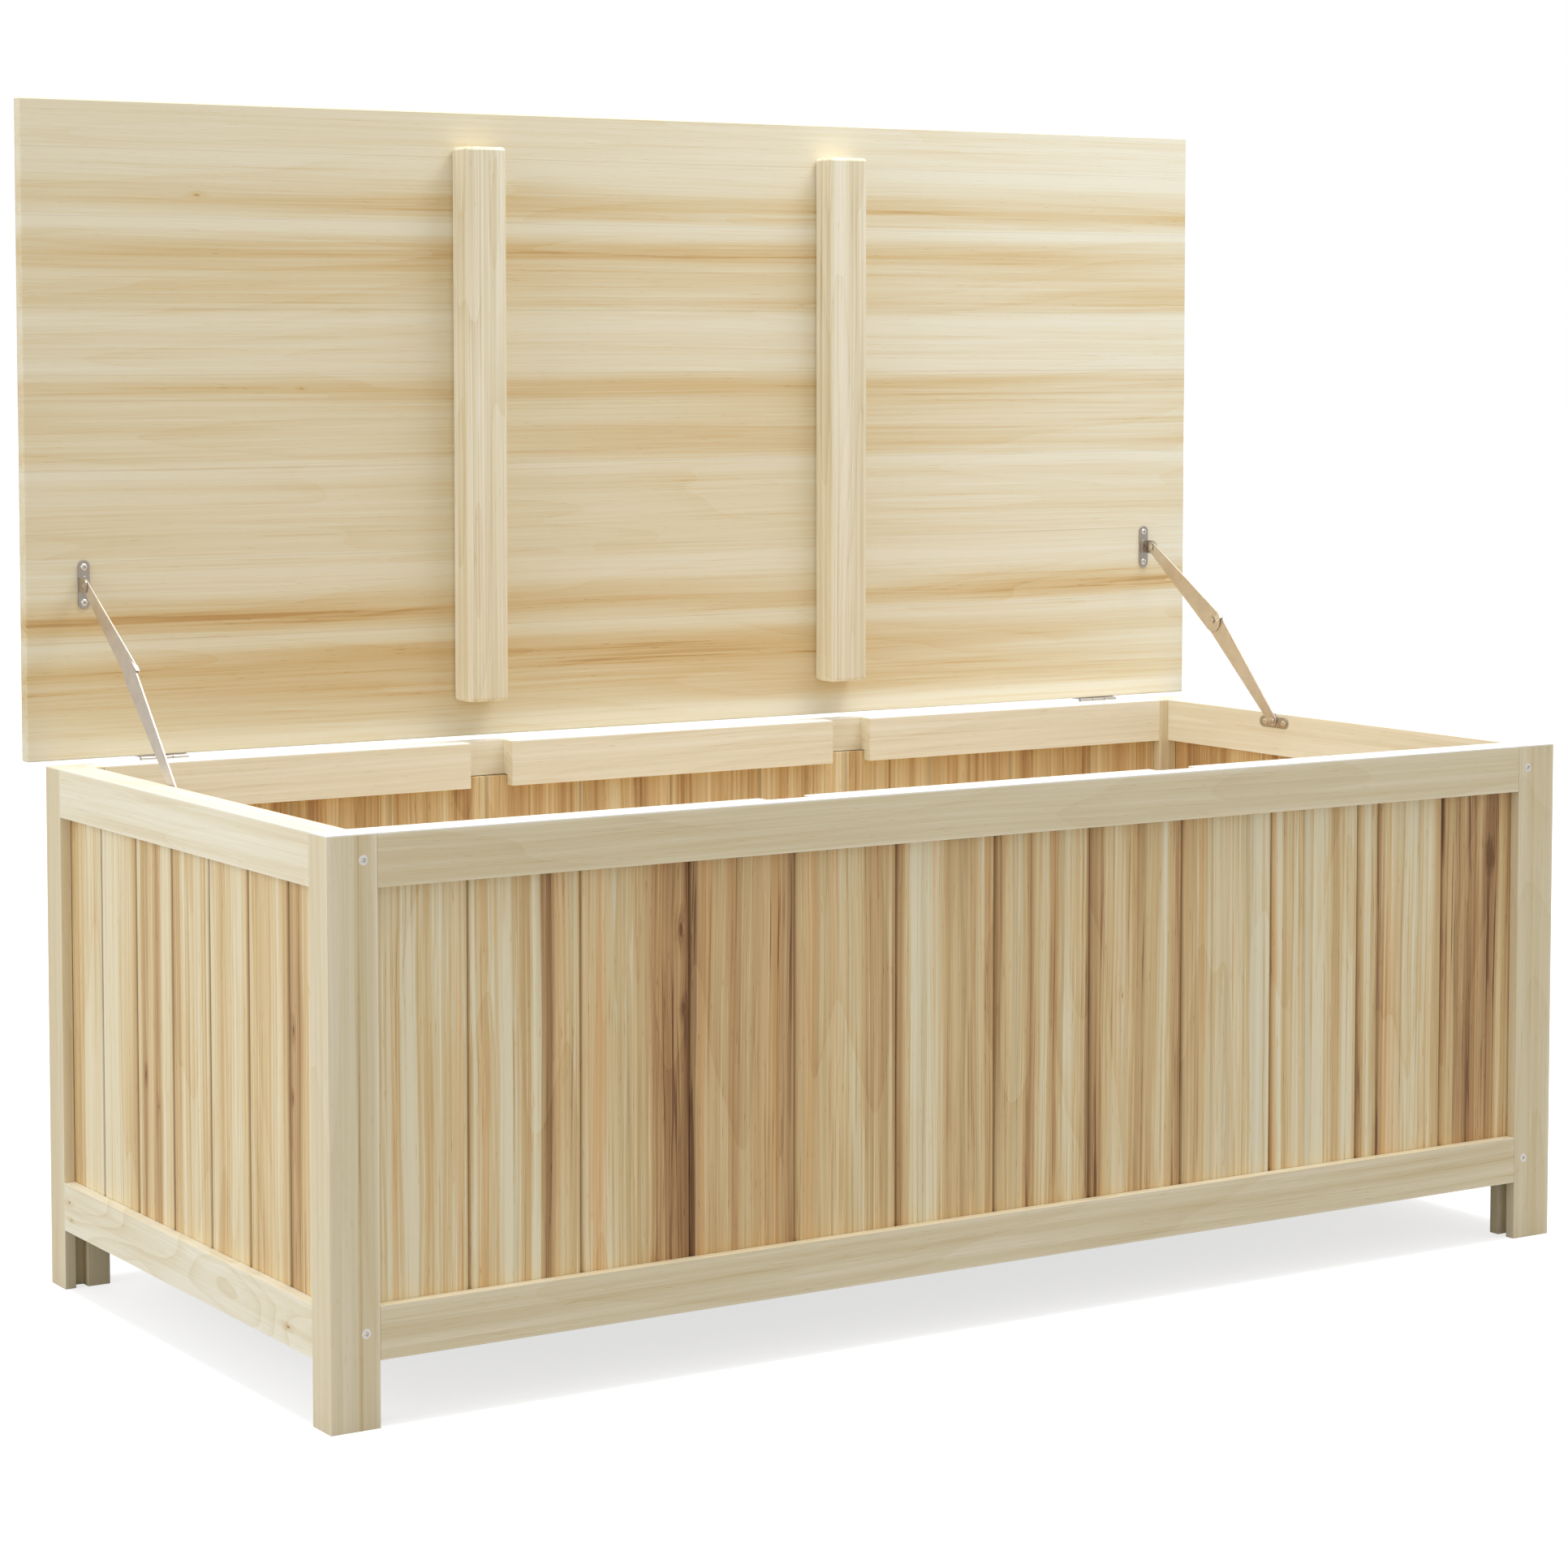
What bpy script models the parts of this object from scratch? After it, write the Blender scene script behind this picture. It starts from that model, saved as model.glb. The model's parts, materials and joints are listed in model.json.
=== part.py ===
"""Wooden toy box on four short legs, with a hinged lid held open by two folding stays.

Metres, +Z up. The origin is on the ground, under the middle of the whole object with
its lid standing open. The box's front faces -Y and its length runs along X.
"""

import math

import bmesh
import bpy

for old in list(bpy.data.objects):
    bpy.data.objects.remove(old, do_unlink=True)

# ---------------------------------------------------------------- driving dimensions
LENGTH = 1.100  # box, outside
DEPTH = 0.500
HEIGHT = 0.404  # box, without its lid
POST_W = 0.037  # post, along the box's length
POST_D = 0.028  # post, along the box's depth
RAIL_H = 0.037
RAIL_T = 0.028
LEG = 0.0465  # clear height under the bottom rails
FIT = 0.0003  # gap between pieces that touch

GROOVE_IN = 0.0090  # outer face to the panel groove
GROOVE_W = 0.0096
POST_GROOVE = 0.0100  # groove depth in a post
RAIL_GROOVE = 0.0086  # groove depth in a rail
TENON = 0.0094  # how far a rail's tenon enters the post
TENON_SIDE = 0.0003  # the tenon is this much thinner than the groove on each side
TENON_SHOULDER = 0.0030  # and stands back this much from the rail's upper and lower face, but is flush at the rim
BOARD_T = 0.0090
BOARD_IN = 0.0080  # how far a board enters a rail
FRONT_PITCH = 0.0880
FRONT_BOARDS = 12
SIDE_PITCH = 0.0665
SIDE_SHIFT = -0.0028  # the side grooves are not quite centred
V_SIDE = 0.0022  # half width of a V groove
V_DEEP = 0.0020

FLOOR_T = 0.008
CLEAT = 0.015
FLOOR_Z = 0.0675  # underside of the floor

LID_T = 0.012
LID_LOW = 0.4070  # lower edge of the lid as it stands open
LID_HIGH = 0.9175
LID_SIDE = 0.0135  # how far the lid passes each end of the box
BATTEN_W = 0.037
BATTEN_T = 0.027
BATTEN_X = 0.176  # batten centre, from the middle of the box
BATTEN_LOW = 0.4370
BATTEN_HIGH = 0.8886
FRONT_NOTCH = 0.0114  # how deep the rails are notched for the battens
REAR_NOTCH = 0.0150
NOTCH_W = 0.0384

SCREW_HEAD_R = 0.0034
SCREW_R = 0.0018
SCREW_LEN = 0.0240
SCREW_IN = 0.0270  # screw, from the box's outer corner

HINGE_LEN = 0.040
HINGE_LEFT = (0.0795, 0.9945)  # left end of each hinge, from the box's left end
LEAF_T = 0.0010
LEAF_W = 0.0115
KNUCKLE_R = 0.0019
KNUCKLE_BORE = 0.00105
PIN_R = 0.00080

ARM_T = 0.0012
ARM_END_R = 0.0048  # narrow end of a stay arm
ARM_ELBOW_R = 0.0105  # wide end, at the elbow
RIVET_R = 0.0016
RIVET_HOLE_R = 0.0020
RIVET_HEAD_R = 0.0031
PLATE_W = 0.0096
PLATE_L = 0.0380
PLATE_T = 0.0010

# ---------------------------------------------------------------- derived places
TOTAL_DEPTH = DEPTH + 0.003 + LID_T
LEFT, RIGHT = -LENGTH / 2, LENGTH / 2
FRONT = -TOTAL_DEPTH / 2
BACK = FRONT + DEPTH
LID_INNER = BACK + 0.003  # the open lid's inner face
LID_OUTER = LID_INNER + LID_T
PIN_Y, PIN_Z = BACK + 0.0022, HEIGHT + 0.0006
TOP_LOW = HEIGHT - RAIL_H  # underside of the top rails
BOTTOM_HIGH = LEG + RAIL_H  # top of the bottom rails

# pivots of the stays as (Y, Z), lid standing open
FOOT = (FRONT + 0.3200, 0.3977)
ELBOW = (FRONT + 0.4034, 0.4813)
LID_PIVOT = (FRONT + 0.4930, 0.5430)


# ---------------------------------------------------------------- helpers
def new_collection(name):
    made = bpy.data.collections.new(name)
    bpy.context.scene.collection.children.link(made)
    return made


PARTS = new_collection("toy_box")
CUTTERS = new_collection("cutters")


def material(name, rgb, roughness, metallic=0.0):
    made = bpy.data.materials.new(name)
    made.use_nodes = True
    shader = made.node_tree.nodes["Principled BSDF"]
    shader.inputs["Base Color"].default_value = (*rgb, 1.0)
    shader.inputs["Roughness"].default_value = roughness
    shader.inputs["Metallic"].default_value = metallic
    made.diffuse_color = (*rgb, 1.0)
    return made


FRAME_WOOD = material("frame_wood", (0.74, 0.64, 0.46), 0.55)
BOARD_WOOD = material("board_wood", (0.66, 0.46, 0.26), 0.55)
LID_WOOD = material("lid_wood", (0.74, 0.63, 0.43), 0.50)
FLOOR_WOOD = material("floor_wood", (0.70, 0.56, 0.38), 0.60)
STEEL = material("nickel_steel", (0.62, 0.60, 0.56), 0.28, 1.0)
ARM_STEEL = material("arm_steel", (0.60, 0.53, 0.43), 0.35, 1.0)
SCREW_STEEL = material("screw_steel", (0.80, 0.80, 0.80), 0.22, 1.0)


def place(obj, where, mat=None):
    for other in list(obj.users_collection):
        other.objects.unlink(obj)
    where.objects.link(obj)
    if mat is not None:
        obj.data.materials.clear()
        obj.data.materials.append(mat)
    if where is CUTTERS:
        obj.hide_render = True
        obj.display_type = "WIRE"
    return obj


def block(name, low, high, mat=None, where=PARTS, soften=0.0, origin=None):
    """A rectangular piece between two corners, its edges softened if asked."""
    bpy.ops.mesh.primitive_cube_add(size=1.0, location=(0, 0, 0))
    obj = bpy.context.active_object
    obj.name = name
    middle = [(a + b) / 2 for a, b in zip(low, high)]
    centre = origin or middle
    for v in obj.data.vertices:
        for i in range(3):
            v.co[i] = v.co[i] * (high[i] - low[i]) + middle[i] - centre[i]
    obj.location = centre
    place(obj, where, mat)
    if soften:
        bevel = obj.modifiers.new("softened edges", "BEVEL")
        bevel.width = soften
        bevel.segments = 1
    return obj


def rod(name, centre, radius, length, axis="X", sides=16, mat=None, where=PARTS):
    """A round bar about centre along X, Y or Z."""
    turn = {"X": (0, math.pi / 2, 0), "Y": (math.pi / 2, 0, 0), "Z": (0, 0, 0)}[axis]
    bpy.ops.mesh.primitive_cylinder_add(
        vertices=sides, radius=radius, depth=length, location=centre, rotation=turn
    )
    obj = bpy.context.active_object
    obj.name = name
    obj.data.shade_smooth()
    obj.data.set_sharp_from_angle(angle=math.radians(40))
    return place(obj, where, mat)


def outline(name, loops, thickness, centre, turn=(0, 0, 0), mat=None, where=PARTS):
    """A flat outline with holes, given thickness both ways from its plane."""
    curve = bpy.data.curves.new(name, "CURVE")
    curve.dimensions = "2D"
    curve.fill_mode = "BOTH"
    curve.extrude = thickness / 2
    for points in loops:
        spline = curve.splines.new("POLY")
        spline.points.add(len(points) - 1)
        for target, (u, v) in zip(spline.points, points):
            target.co = (u, v, 0, 1)
        spline.use_cyclic_u = True
    obj = bpy.data.objects.new(name, curve)
    obj.location = centre
    obj.rotation_euler = turn
    return place(obj, where, mat)


def as_mesh(obj):
    """The same piece as a welded mesh, so that it can be cut and joined."""
    bpy.context.view_layer.update()
    shape = obj.evaluated_get(bpy.context.evaluated_depsgraph_get())
    mesh = bpy.data.meshes.new_from_object(shape)
    work = bmesh.new()
    work.from_mesh(mesh)
    bmesh.ops.remove_doubles(work, verts=work.verts, dist=1e-6)
    bmesh.ops.recalc_face_normals(work, faces=work.faces)
    work.to_mesh(mesh)
    work.free()
    name, where, world = obj.name, obj.users_collection[0], obj.matrix_world.copy()
    mats = list(obj.data.materials)
    bpy.data.objects.remove(obj, do_unlink=True)
    made = bpy.data.objects.new(name, mesh)
    made.matrix_world = world
    place(made, where)
    mesh.materials.clear()
    for mat in mats:
        mesh.materials.append(mat)
    return made


def boolean(obj, tool, operation):
    step = obj.modifiers.new(tool.name, "BOOLEAN")
    step.operation = operation
    step.object = tool
    step.solver = "EXACT"


def cut(obj, tool):
    boolean(obj, tool, "DIFFERENCE")


def join(obj, tool):
    boolean(obj, tool, "UNION")


def hang(obj, parent):
    """Parents a piece to an empty without moving it."""
    bpy.context.view_layer.update()
    obj.parent = parent
    obj.matrix_parent_inverse = parent.matrix_world.inverted()


def pivot(name, where):
    empty = bpy.data.objects.new(name, None)
    empty.location = where
    empty.empty_display_size = 0.02
    PARTS.objects.link(empty)
    bpy.context.view_layer.update()
    return empty


# ---------------------------------------------------------------- posts
def post(name, side, face):
    """A corner post, grooved on its two inner faces for the tenons and panels.
    side is -1 left, +1 right; face is -1 front, +1 back. Points run from the outer corner."""
    w, d = POST_W, POST_D
    a, b, g = GROOVE_IN, GROOVE_IN + GROOVE_W, POST_GROOVE
    corner = [
        (0, 0), (w, 0), (w, a), (w - g, a), (w - g, b), (w, b), (w, d),
        (b, d), (b, d - g), (a, d - g), (a, d), (0, d),
    ]
    x0 = LEFT if side < 0 else RIGHT
    y0 = FRONT if face < 0 else BACK
    points = [(-side * u, -face * v) for u, v in corner]
    if side * face < 0:
        points.reverse()
    made = outline(name, [points], HEIGHT, (x0, y0, HEIGHT / 2), mat=FRAME_WOOD)
    return as_mesh(made)


posts = {
    (side, face): post(f"post_{fname}_{sname}", side, face)
    for side, sname in ((-1, "left"), (1, "right"))
    for face, fname in ((-1, "front"), (1, "rear"))
}


# ---------------------------------------------------------------- rails
def long_rail(name, face, low, groove_up, notch):
    """A front or rear rail between the posts, with its tenons, panel groove and the
    notches that the lid's battens drop into."""
    y0, y1 = (FRONT, FRONT + RAIL_T) if face < 0 else (BACK - RAIL_T, BACK)
    g0 = FRONT + GROOVE_IN if face < 0 else BACK - GROOVE_IN - GROOVE_W
    g1 = g0 + GROOVE_W
    x0, x1 = LEFT + POST_W + FIT, RIGHT - POST_W - FIT
    rail = block(name, (x0, y0, low), (x1, y1, low + RAIL_H), FRAME_WOOD)
    tenon = block(
        name + "_tenons",
        (LEFT + POST_W - TENON, g0 + TENON_SIDE, low + TENON_SHOULDER),
        (RIGHT - POST_W + TENON, g1 - TENON_SIDE, low + RAIL_H - (TENON_SHOULDER if groove_up else 0.0)),
        where=CUTTERS,
    )
    join(rail, tenon)
    z0 = low + RAIL_H - RAIL_GROOVE if groove_up else low - 0.01
    z1 = low + RAIL_H + 0.01 if groove_up else low + RAIL_GROOVE
    cut(rail, block(name + "_groove", (LEFT, g0, z0), (RIGHT, g1, z1), where=CUTTERS))
    if notch:
        inner = y1 if face < 0 else y0
        n0, n1 = (inner - notch, inner + 0.01) if face < 0 else (inner - 0.01, inner + notch)
        for side in (-1, 1):
            x = side * BATTEN_X
            cut(
                rail,
                block(
                    f"{name}_notch_{side + 1}",
                    (x - NOTCH_W / 2, n0, low - 0.005),
                    (x + NOTCH_W / 2, n1, low + RAIL_H + 0.005),
                    where=CUTTERS,
                ),
            )
    return rail


def side_rail(name, side, low, groove_up):
    """A left or right rail between the posts, with its tenons and panel groove."""
    x0, x1 = (LEFT, LEFT + RAIL_T) if side < 0 else (RIGHT - RAIL_T, RIGHT)
    g0 = LEFT + GROOVE_IN if side < 0 else RIGHT - GROOVE_IN - GROOVE_W
    g1 = g0 + GROOVE_W
    y0, y1 = FRONT + POST_D + FIT, BACK - POST_D - FIT
    rail = block(name, (x0, y0, low), (x1, y1, low + RAIL_H), FRAME_WOOD)
    tenon = block(
        name + "_tenons",
        (g0 + TENON_SIDE, FRONT + POST_D - TENON, low + TENON_SHOULDER),
        (g1 - TENON_SIDE, BACK - POST_D + TENON, low + RAIL_H - (TENON_SHOULDER if groove_up else 0.0)),
        where=CUTTERS,
    )
    join(rail, tenon)
    z0 = low + RAIL_H - RAIL_GROOVE if groove_up else low - 0.01
    z1 = low + RAIL_H + 0.01 if groove_up else low + RAIL_GROOVE
    cut(rail, block(name + "_groove", (g0, FRONT, z0), (g1, BACK, z1), where=CUTTERS))
    return rail


front_top = long_rail("front_top_rail", -1, TOP_LOW, False, FRONT_NOTCH)
front_bottom = long_rail("front_bottom_rail", -1, LEG, True, 0)
long_rail("rear_top_rail", 1, TOP_LOW, False, REAR_NOTCH)
long_rail("rear_bottom_rail", 1, LEG, True, 0)
side_rail("left_top_rail", -1, TOP_LOW, False)
side_rail("left_bottom_rail", -1, LEG, True)
side_rail("right_top_rail", 1, TOP_LOW, False)
side_rail("right_bottom_rail", 1, LEG, True)

# ---------------------------------------------------------------- panels
PANEL_LOW = BOTTOM_HIGH - BOARD_IN
PANEL_HIGH = TOP_LOW + BOARD_IN
PANEL_H = PANEL_HIGH - PANEL_LOW
TONGUE = 0.0045
TONGUE_T = 0.0030
SLOT = 0.0050
SLOT_T = 0.0036


def front_board(number, x0, x1, first, last):
    """A tongue-and-groove board: outer face at v = 0, eased along both long edges."""
    t = BOARD_T
    a, b = (t - TONGUE_T) / 2, (t + TONGUE_T) / 2
    c, d = (t - SLOT_T) / 2, (t + SLOT_T) / 2
    w = x1 - x0
    points = []
    # left edge, from the back to the outer face
    if first:
        points += [(0, t), (0, 0)]
    else:
        points += [(0, t), (0, d), (SLOT, d), (SLOT, c), (0, c), (0, V_DEEP), (V_SIDE, 0)]
    # right edge, from the outer face to the back
    if last:
        points += [(w, 0), (w, t)]
    else:
        points += [(w - V_SIDE, 0), (w, V_DEEP), (w, a), (w + TONGUE, a), (w + TONGUE, b), (w, b), (w, t)]
    made = outline(
        f"front_board_{number:02d}",
        [points],
        PANEL_H,
        (x0, FRONT + GROOVE_IN + FIT, (PANEL_LOW + PANEL_HIGH) / 2),
        mat=BOARD_WOOD,
    )
    return as_mesh(made)


panel_left = LEFT + POST_W - TENON
panel_right = RIGHT - POST_W + TENON
for n in range(FRONT_BOARDS):
    first, last = n == 0, n == FRONT_BOARDS - 1
    x0 = panel_left if first else (n - FRONT_BOARDS / 2) * FRONT_PITCH + FIT / 2
    x1 = panel_right if last else (n + 1 - FRONT_BOARDS / 2) * FRONT_PITCH - FIT / 2
    front_board(n + 1, x0, x1, first, last)


def grooved_panel(name, span, seams, centre, turn):
    """A panel whose outer face has V grooves at seams, measured along its width."""
    points = [(span[0], 0)]
    for s in seams:
        points += [(s - V_SIDE, 0), (s, V_DEEP), (s + V_SIDE, 0)]
    points += [(span[1], 0), (span[1], BOARD_T), (span[0], BOARD_T)]
    made = outline(name, [points], PANEL_H, centre, turn, BOARD_WOOD)
    return as_mesh(made)


mid_z = (PANEL_LOW + PANEL_HIGH) / 2
box_mid_y = (FRONT + BACK) / 2
half_side = DEPTH / 2 - POST_D + TENON
side_seams = [(n - 2.5) * SIDE_PITCH for n in range(6)]
grooved_panel(
    "rear_panel",
    (panel_left, panel_right),
    [(n - FRONT_BOARDS / 2) * FRONT_PITCH for n in range(1, FRONT_BOARDS)],
    (0, BACK - GROOVE_IN - FIT, mid_z),
    (0, 0, math.pi),
)
grooved_panel(
    "left_panel",
    (-half_side, half_side),
    [s - SIDE_SHIFT for s in side_seams],
    (LEFT + GROOVE_IN + FIT, box_mid_y, mid_z),
    (0, 0, -math.pi / 2),
)
grooved_panel(
    "right_panel",
    (-half_side, half_side),
    [s + SIDE_SHIFT for s in side_seams],
    (RIGHT - GROOVE_IN - FIT, box_mid_y, mid_z),
    (0, 0, math.pi / 2),
)

# ---------------------------------------------------------------- floor
inner_x = LENGTH / 2 - RAIL_T - 2 * FIT
inner_y0, inner_y1 = FRONT + RAIL_T + 2 * FIT, BACK - RAIL_T - 2 * FIT
block(
    "floor_panel",
    (-inner_x, inner_y0, FLOOR_Z),
    (inner_x, inner_y1, FLOOR_Z + FLOOR_T),
    FLOOR_WOOD,
)
for label, y0 in (("front", FRONT + RAIL_T + FIT), ("rear", BACK - RAIL_T - FIT - CLEAT)):
    block(
        f"floor_cleat_{label}",
        (LEFT + POST_W + FIT, y0, FLOOR_Z - FIT - CLEAT),
        (RIGHT - POST_W - FIT, y0 + CLEAT, FLOOR_Z - FIT),
        FRAME_WOOD,
    )

# ---------------------------------------------------------------- frame screws
for side, sname in ((-1, "left"), (1, "right")):
    x = side * (LENGTH / 2 - SCREW_IN)
    for level, z in (("top", TOP_LOW + RAIL_H * 0.52), ("bottom", LEG + RAIL_H * 0.52)):
        rail = front_top if level == "top" else front_bottom
        hole = rod(
            f"screw_hole_{level}_{sname}",
            (x, FRONT + 0.010, z),
            SCREW_R + FIT,
            0.036,
            "Y",
            where=CUTTERS,
        )
        seat = rod(
            f"screw_seat_{level}_{sname}",
            (x, FRONT, z),
            SCREW_HEAD_R + FIT,
            0.0036,
            "Y",
            where=CUTTERS,
        )
        cut(posts[(side, -1)], hole)
        cut(posts[(side, -1)], seat)
        cut(rail, hole)
        screw = rod(
            f"frame_screw_{level}_{sname}",
            (x, FRONT + 0.0001 + SCREW_LEN / 2, z),
            SCREW_R,
            SCREW_LEN,
            "Y",
            12,
            SCREW_STEEL,
        )
        head = rod(
            f"screw_head_{level}_{sname}",
            (x, FRONT + 0.0008, z),
            SCREW_HEAD_R,
            0.0014,
            "Y",
            16,
            where=CUTTERS,
        )
        join(screw, head)

# ---------------------------------------------------------------- lid
LID_AXIS = pivot("lid_axis", (0, PIN_Y, PIN_Z))
lid = block(
    "lid_panel",
    (LEFT - LID_SIDE, LID_INNER, LID_LOW),
    (RIGHT + LID_SIDE, LID_OUTER, LID_HIGH),
    LID_WOOD,
    soften=0.0010,
)
hang(lid, LID_AXIS)
for side, sname in ((-1, "left"), (1, "right")):
    x = side * BATTEN_X
    batten = block(
        f"lid_batten_{sname}",
        (x - BATTEN_W / 2, LID_INNER - FIT - BATTEN_T, BATTEN_LOW),
        (x + BATTEN_W / 2, LID_INNER - FIT, BATTEN_HIGH),
        LID_WOOD,
        soften=0.0022,
    )
    hang(batten, LID_AXIS)


# ---------------------------------------------------------------- hinges
def knuckle(name, x0, x1):
    """A rolled barrel about the pin, as a ring turned from its wall section."""
    mesh = bpy.data.meshes.new(name)
    work = bmesh.new()
    wall = [
        (x0, KNUCKLE_BORE), (x0, KNUCKLE_R), (x1, KNUCKLE_R), (x1, KNUCKLE_BORE),
    ]
    verts = [work.verts.new((x, 0, r)) for x, r in wall]
    for a, b in zip(verts, verts[1:] + verts[:1]):
        work.edges.new((a, b))
    bmesh.ops.spin(
        work,
        geom=work.verts[:] + work.edges[:],
        cent=(0, 0, 0),
        axis=(1, 0, 0),
        angle=math.tau,
        steps=16,
        use_merge=True,
    )
    bmesh.ops.remove_doubles(work, verts=work.verts, dist=1e-6)
    bmesh.ops.recalc_face_normals(work, faces=work.faces)
    work.to_mesh(mesh)
    work.free()
    obj = bpy.data.objects.new(name, mesh)
    obj.location = (0, PIN_Y, PIN_Z)
    return place(obj, CUTTERS)


def hinge(label, left_end):
    """A butt hinge: one leaf on the rear rail's back face, one on the lid's rear edge."""
    x0 = LEFT + left_end
    x3 = x0 + HINGE_LEN
    third = HINGE_LEN / 3
    x1, x2 = x0 + third, x0 + 2 * third
    gap = FIT
    # box leaf, flat on the rail's back face and open above for the lid's knuckle
    y0, y1 = BACK + FIT, BACK + FIT + LEAF_T
    leaf = block(
        f"hinge_{label}_box_leaf",
        (x0, y0, HEIGHT - LEAF_W),
        (x3, y1, PIN_Z - KNUCKLE_R - gap),
        STEEL,
    )
    for n, (a, b) in enumerate(((x0, x1 - gap), (x2 + gap, x3))):
        neck = block(
            f"hinge_{label}_box_neck_{n}",
            (a, y0, PIN_Z - KNUCKLE_R - 0.0015),
            (b, y1 - 0.0001, PIN_Z - 0.0001),
            where=CUTTERS,
        )
        join(leaf, neck)
        join(leaf, knuckle(f"hinge_{label}_box_knuckle_{n}", a, b))
    # lid leaf, under the open lid's lower edge
    z1 = LID_LOW - FIT
    z0 = z1 - LEAF_T
    lid_leaf = block(
        f"hinge_{label}_lid_leaf",
        (x0, PIN_Y + KNUCKLE_R + gap, z0),
        (x3, LID_OUTER - 0.0006, z1),
        STEEL,
    )
    neck = block(
        f"hinge_{label}_lid_neck",
        (x1 + gap, PIN_Y + 0.0001, z0 + 0.0001),
        (x2 - gap, PIN_Y + KNUCKLE_R + 0.0015, z1),
        where=CUTTERS,
    )
    for v in neck.data.vertices:
        v.co.z -= 0.0001 if v.co.z > 0 else 0.0
    join(lid_leaf, neck)
    join(lid_leaf, knuckle(f"hinge_{label}_lid_knuckle", x1 + gap, x2 - gap))
    hang(lid_leaf, LID_AXIS)
    rod(
        f"hinge_{label}_pin",
        ((x0 + x3) / 2, PIN_Y, PIN_Z),
        PIN_R,
        HINGE_LEN + 0.0004,
        "X",
        12,
        STEEL,
    )


for label, left_end in zip(("left", "right"), HINGE_LEFT):
    hinge(label, left_end)


# ---------------------------------------------------------------- lid stays
def circle(cx, cy, radius, sides=16, start=0.0):
    return [
        (cx + radius * math.cos(start + math.tau * n / sides), cy + radius * math.sin(start + math.tau * n / sides))
        for n in range(sides)
    ]


def tapered(length, r0, r1, sides=10):
    """Outline of an arm along +u: round ends of radius r0 at 0 and r1 at length, joined
    by straight edges tangent to both."""
    lean = math.acos((r0 - r1) / length)  # direction of the tangent points
    points = []
    for n in range(sides + 1):
        a = lean + (math.tau - 2 * lean) * n / sides
        points.append((r0 * math.cos(a), r0 * math.sin(a)))
    for n in range(sides + 1):
        a = -lean + 2 * lean * n / sides
        points.append((length + r1 * math.cos(a), r1 * math.sin(a)))
    return points


FLAT_YZ = (math.pi / 2, 0, math.pi / 2)  # outline's u along +Y and v along +Z


def turned(points, angle):
    c, s = math.cos(angle), math.sin(angle)
    return [(u * c - v * s, u * s + v * c) for u, v in points]


def rivet(name, x, outward, where_yz, reach, mat):
    """A rivet along X: shank from x to x + outward * reach, then a flat round head."""
    y, z = where_yz
    shank = rod(
        name, (x + outward * reach / 2, y, z), RIVET_R, reach, "X", 12, mat
    )
    head = rod(
        name + "_head",
        (x + outward * (reach + 0.0004), y, z),
        RIVET_HEAD_R,
        0.0012,
        "X",
        16,
        where=CUTTERS,
    )
    join(shank, head)
    return shank


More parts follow.
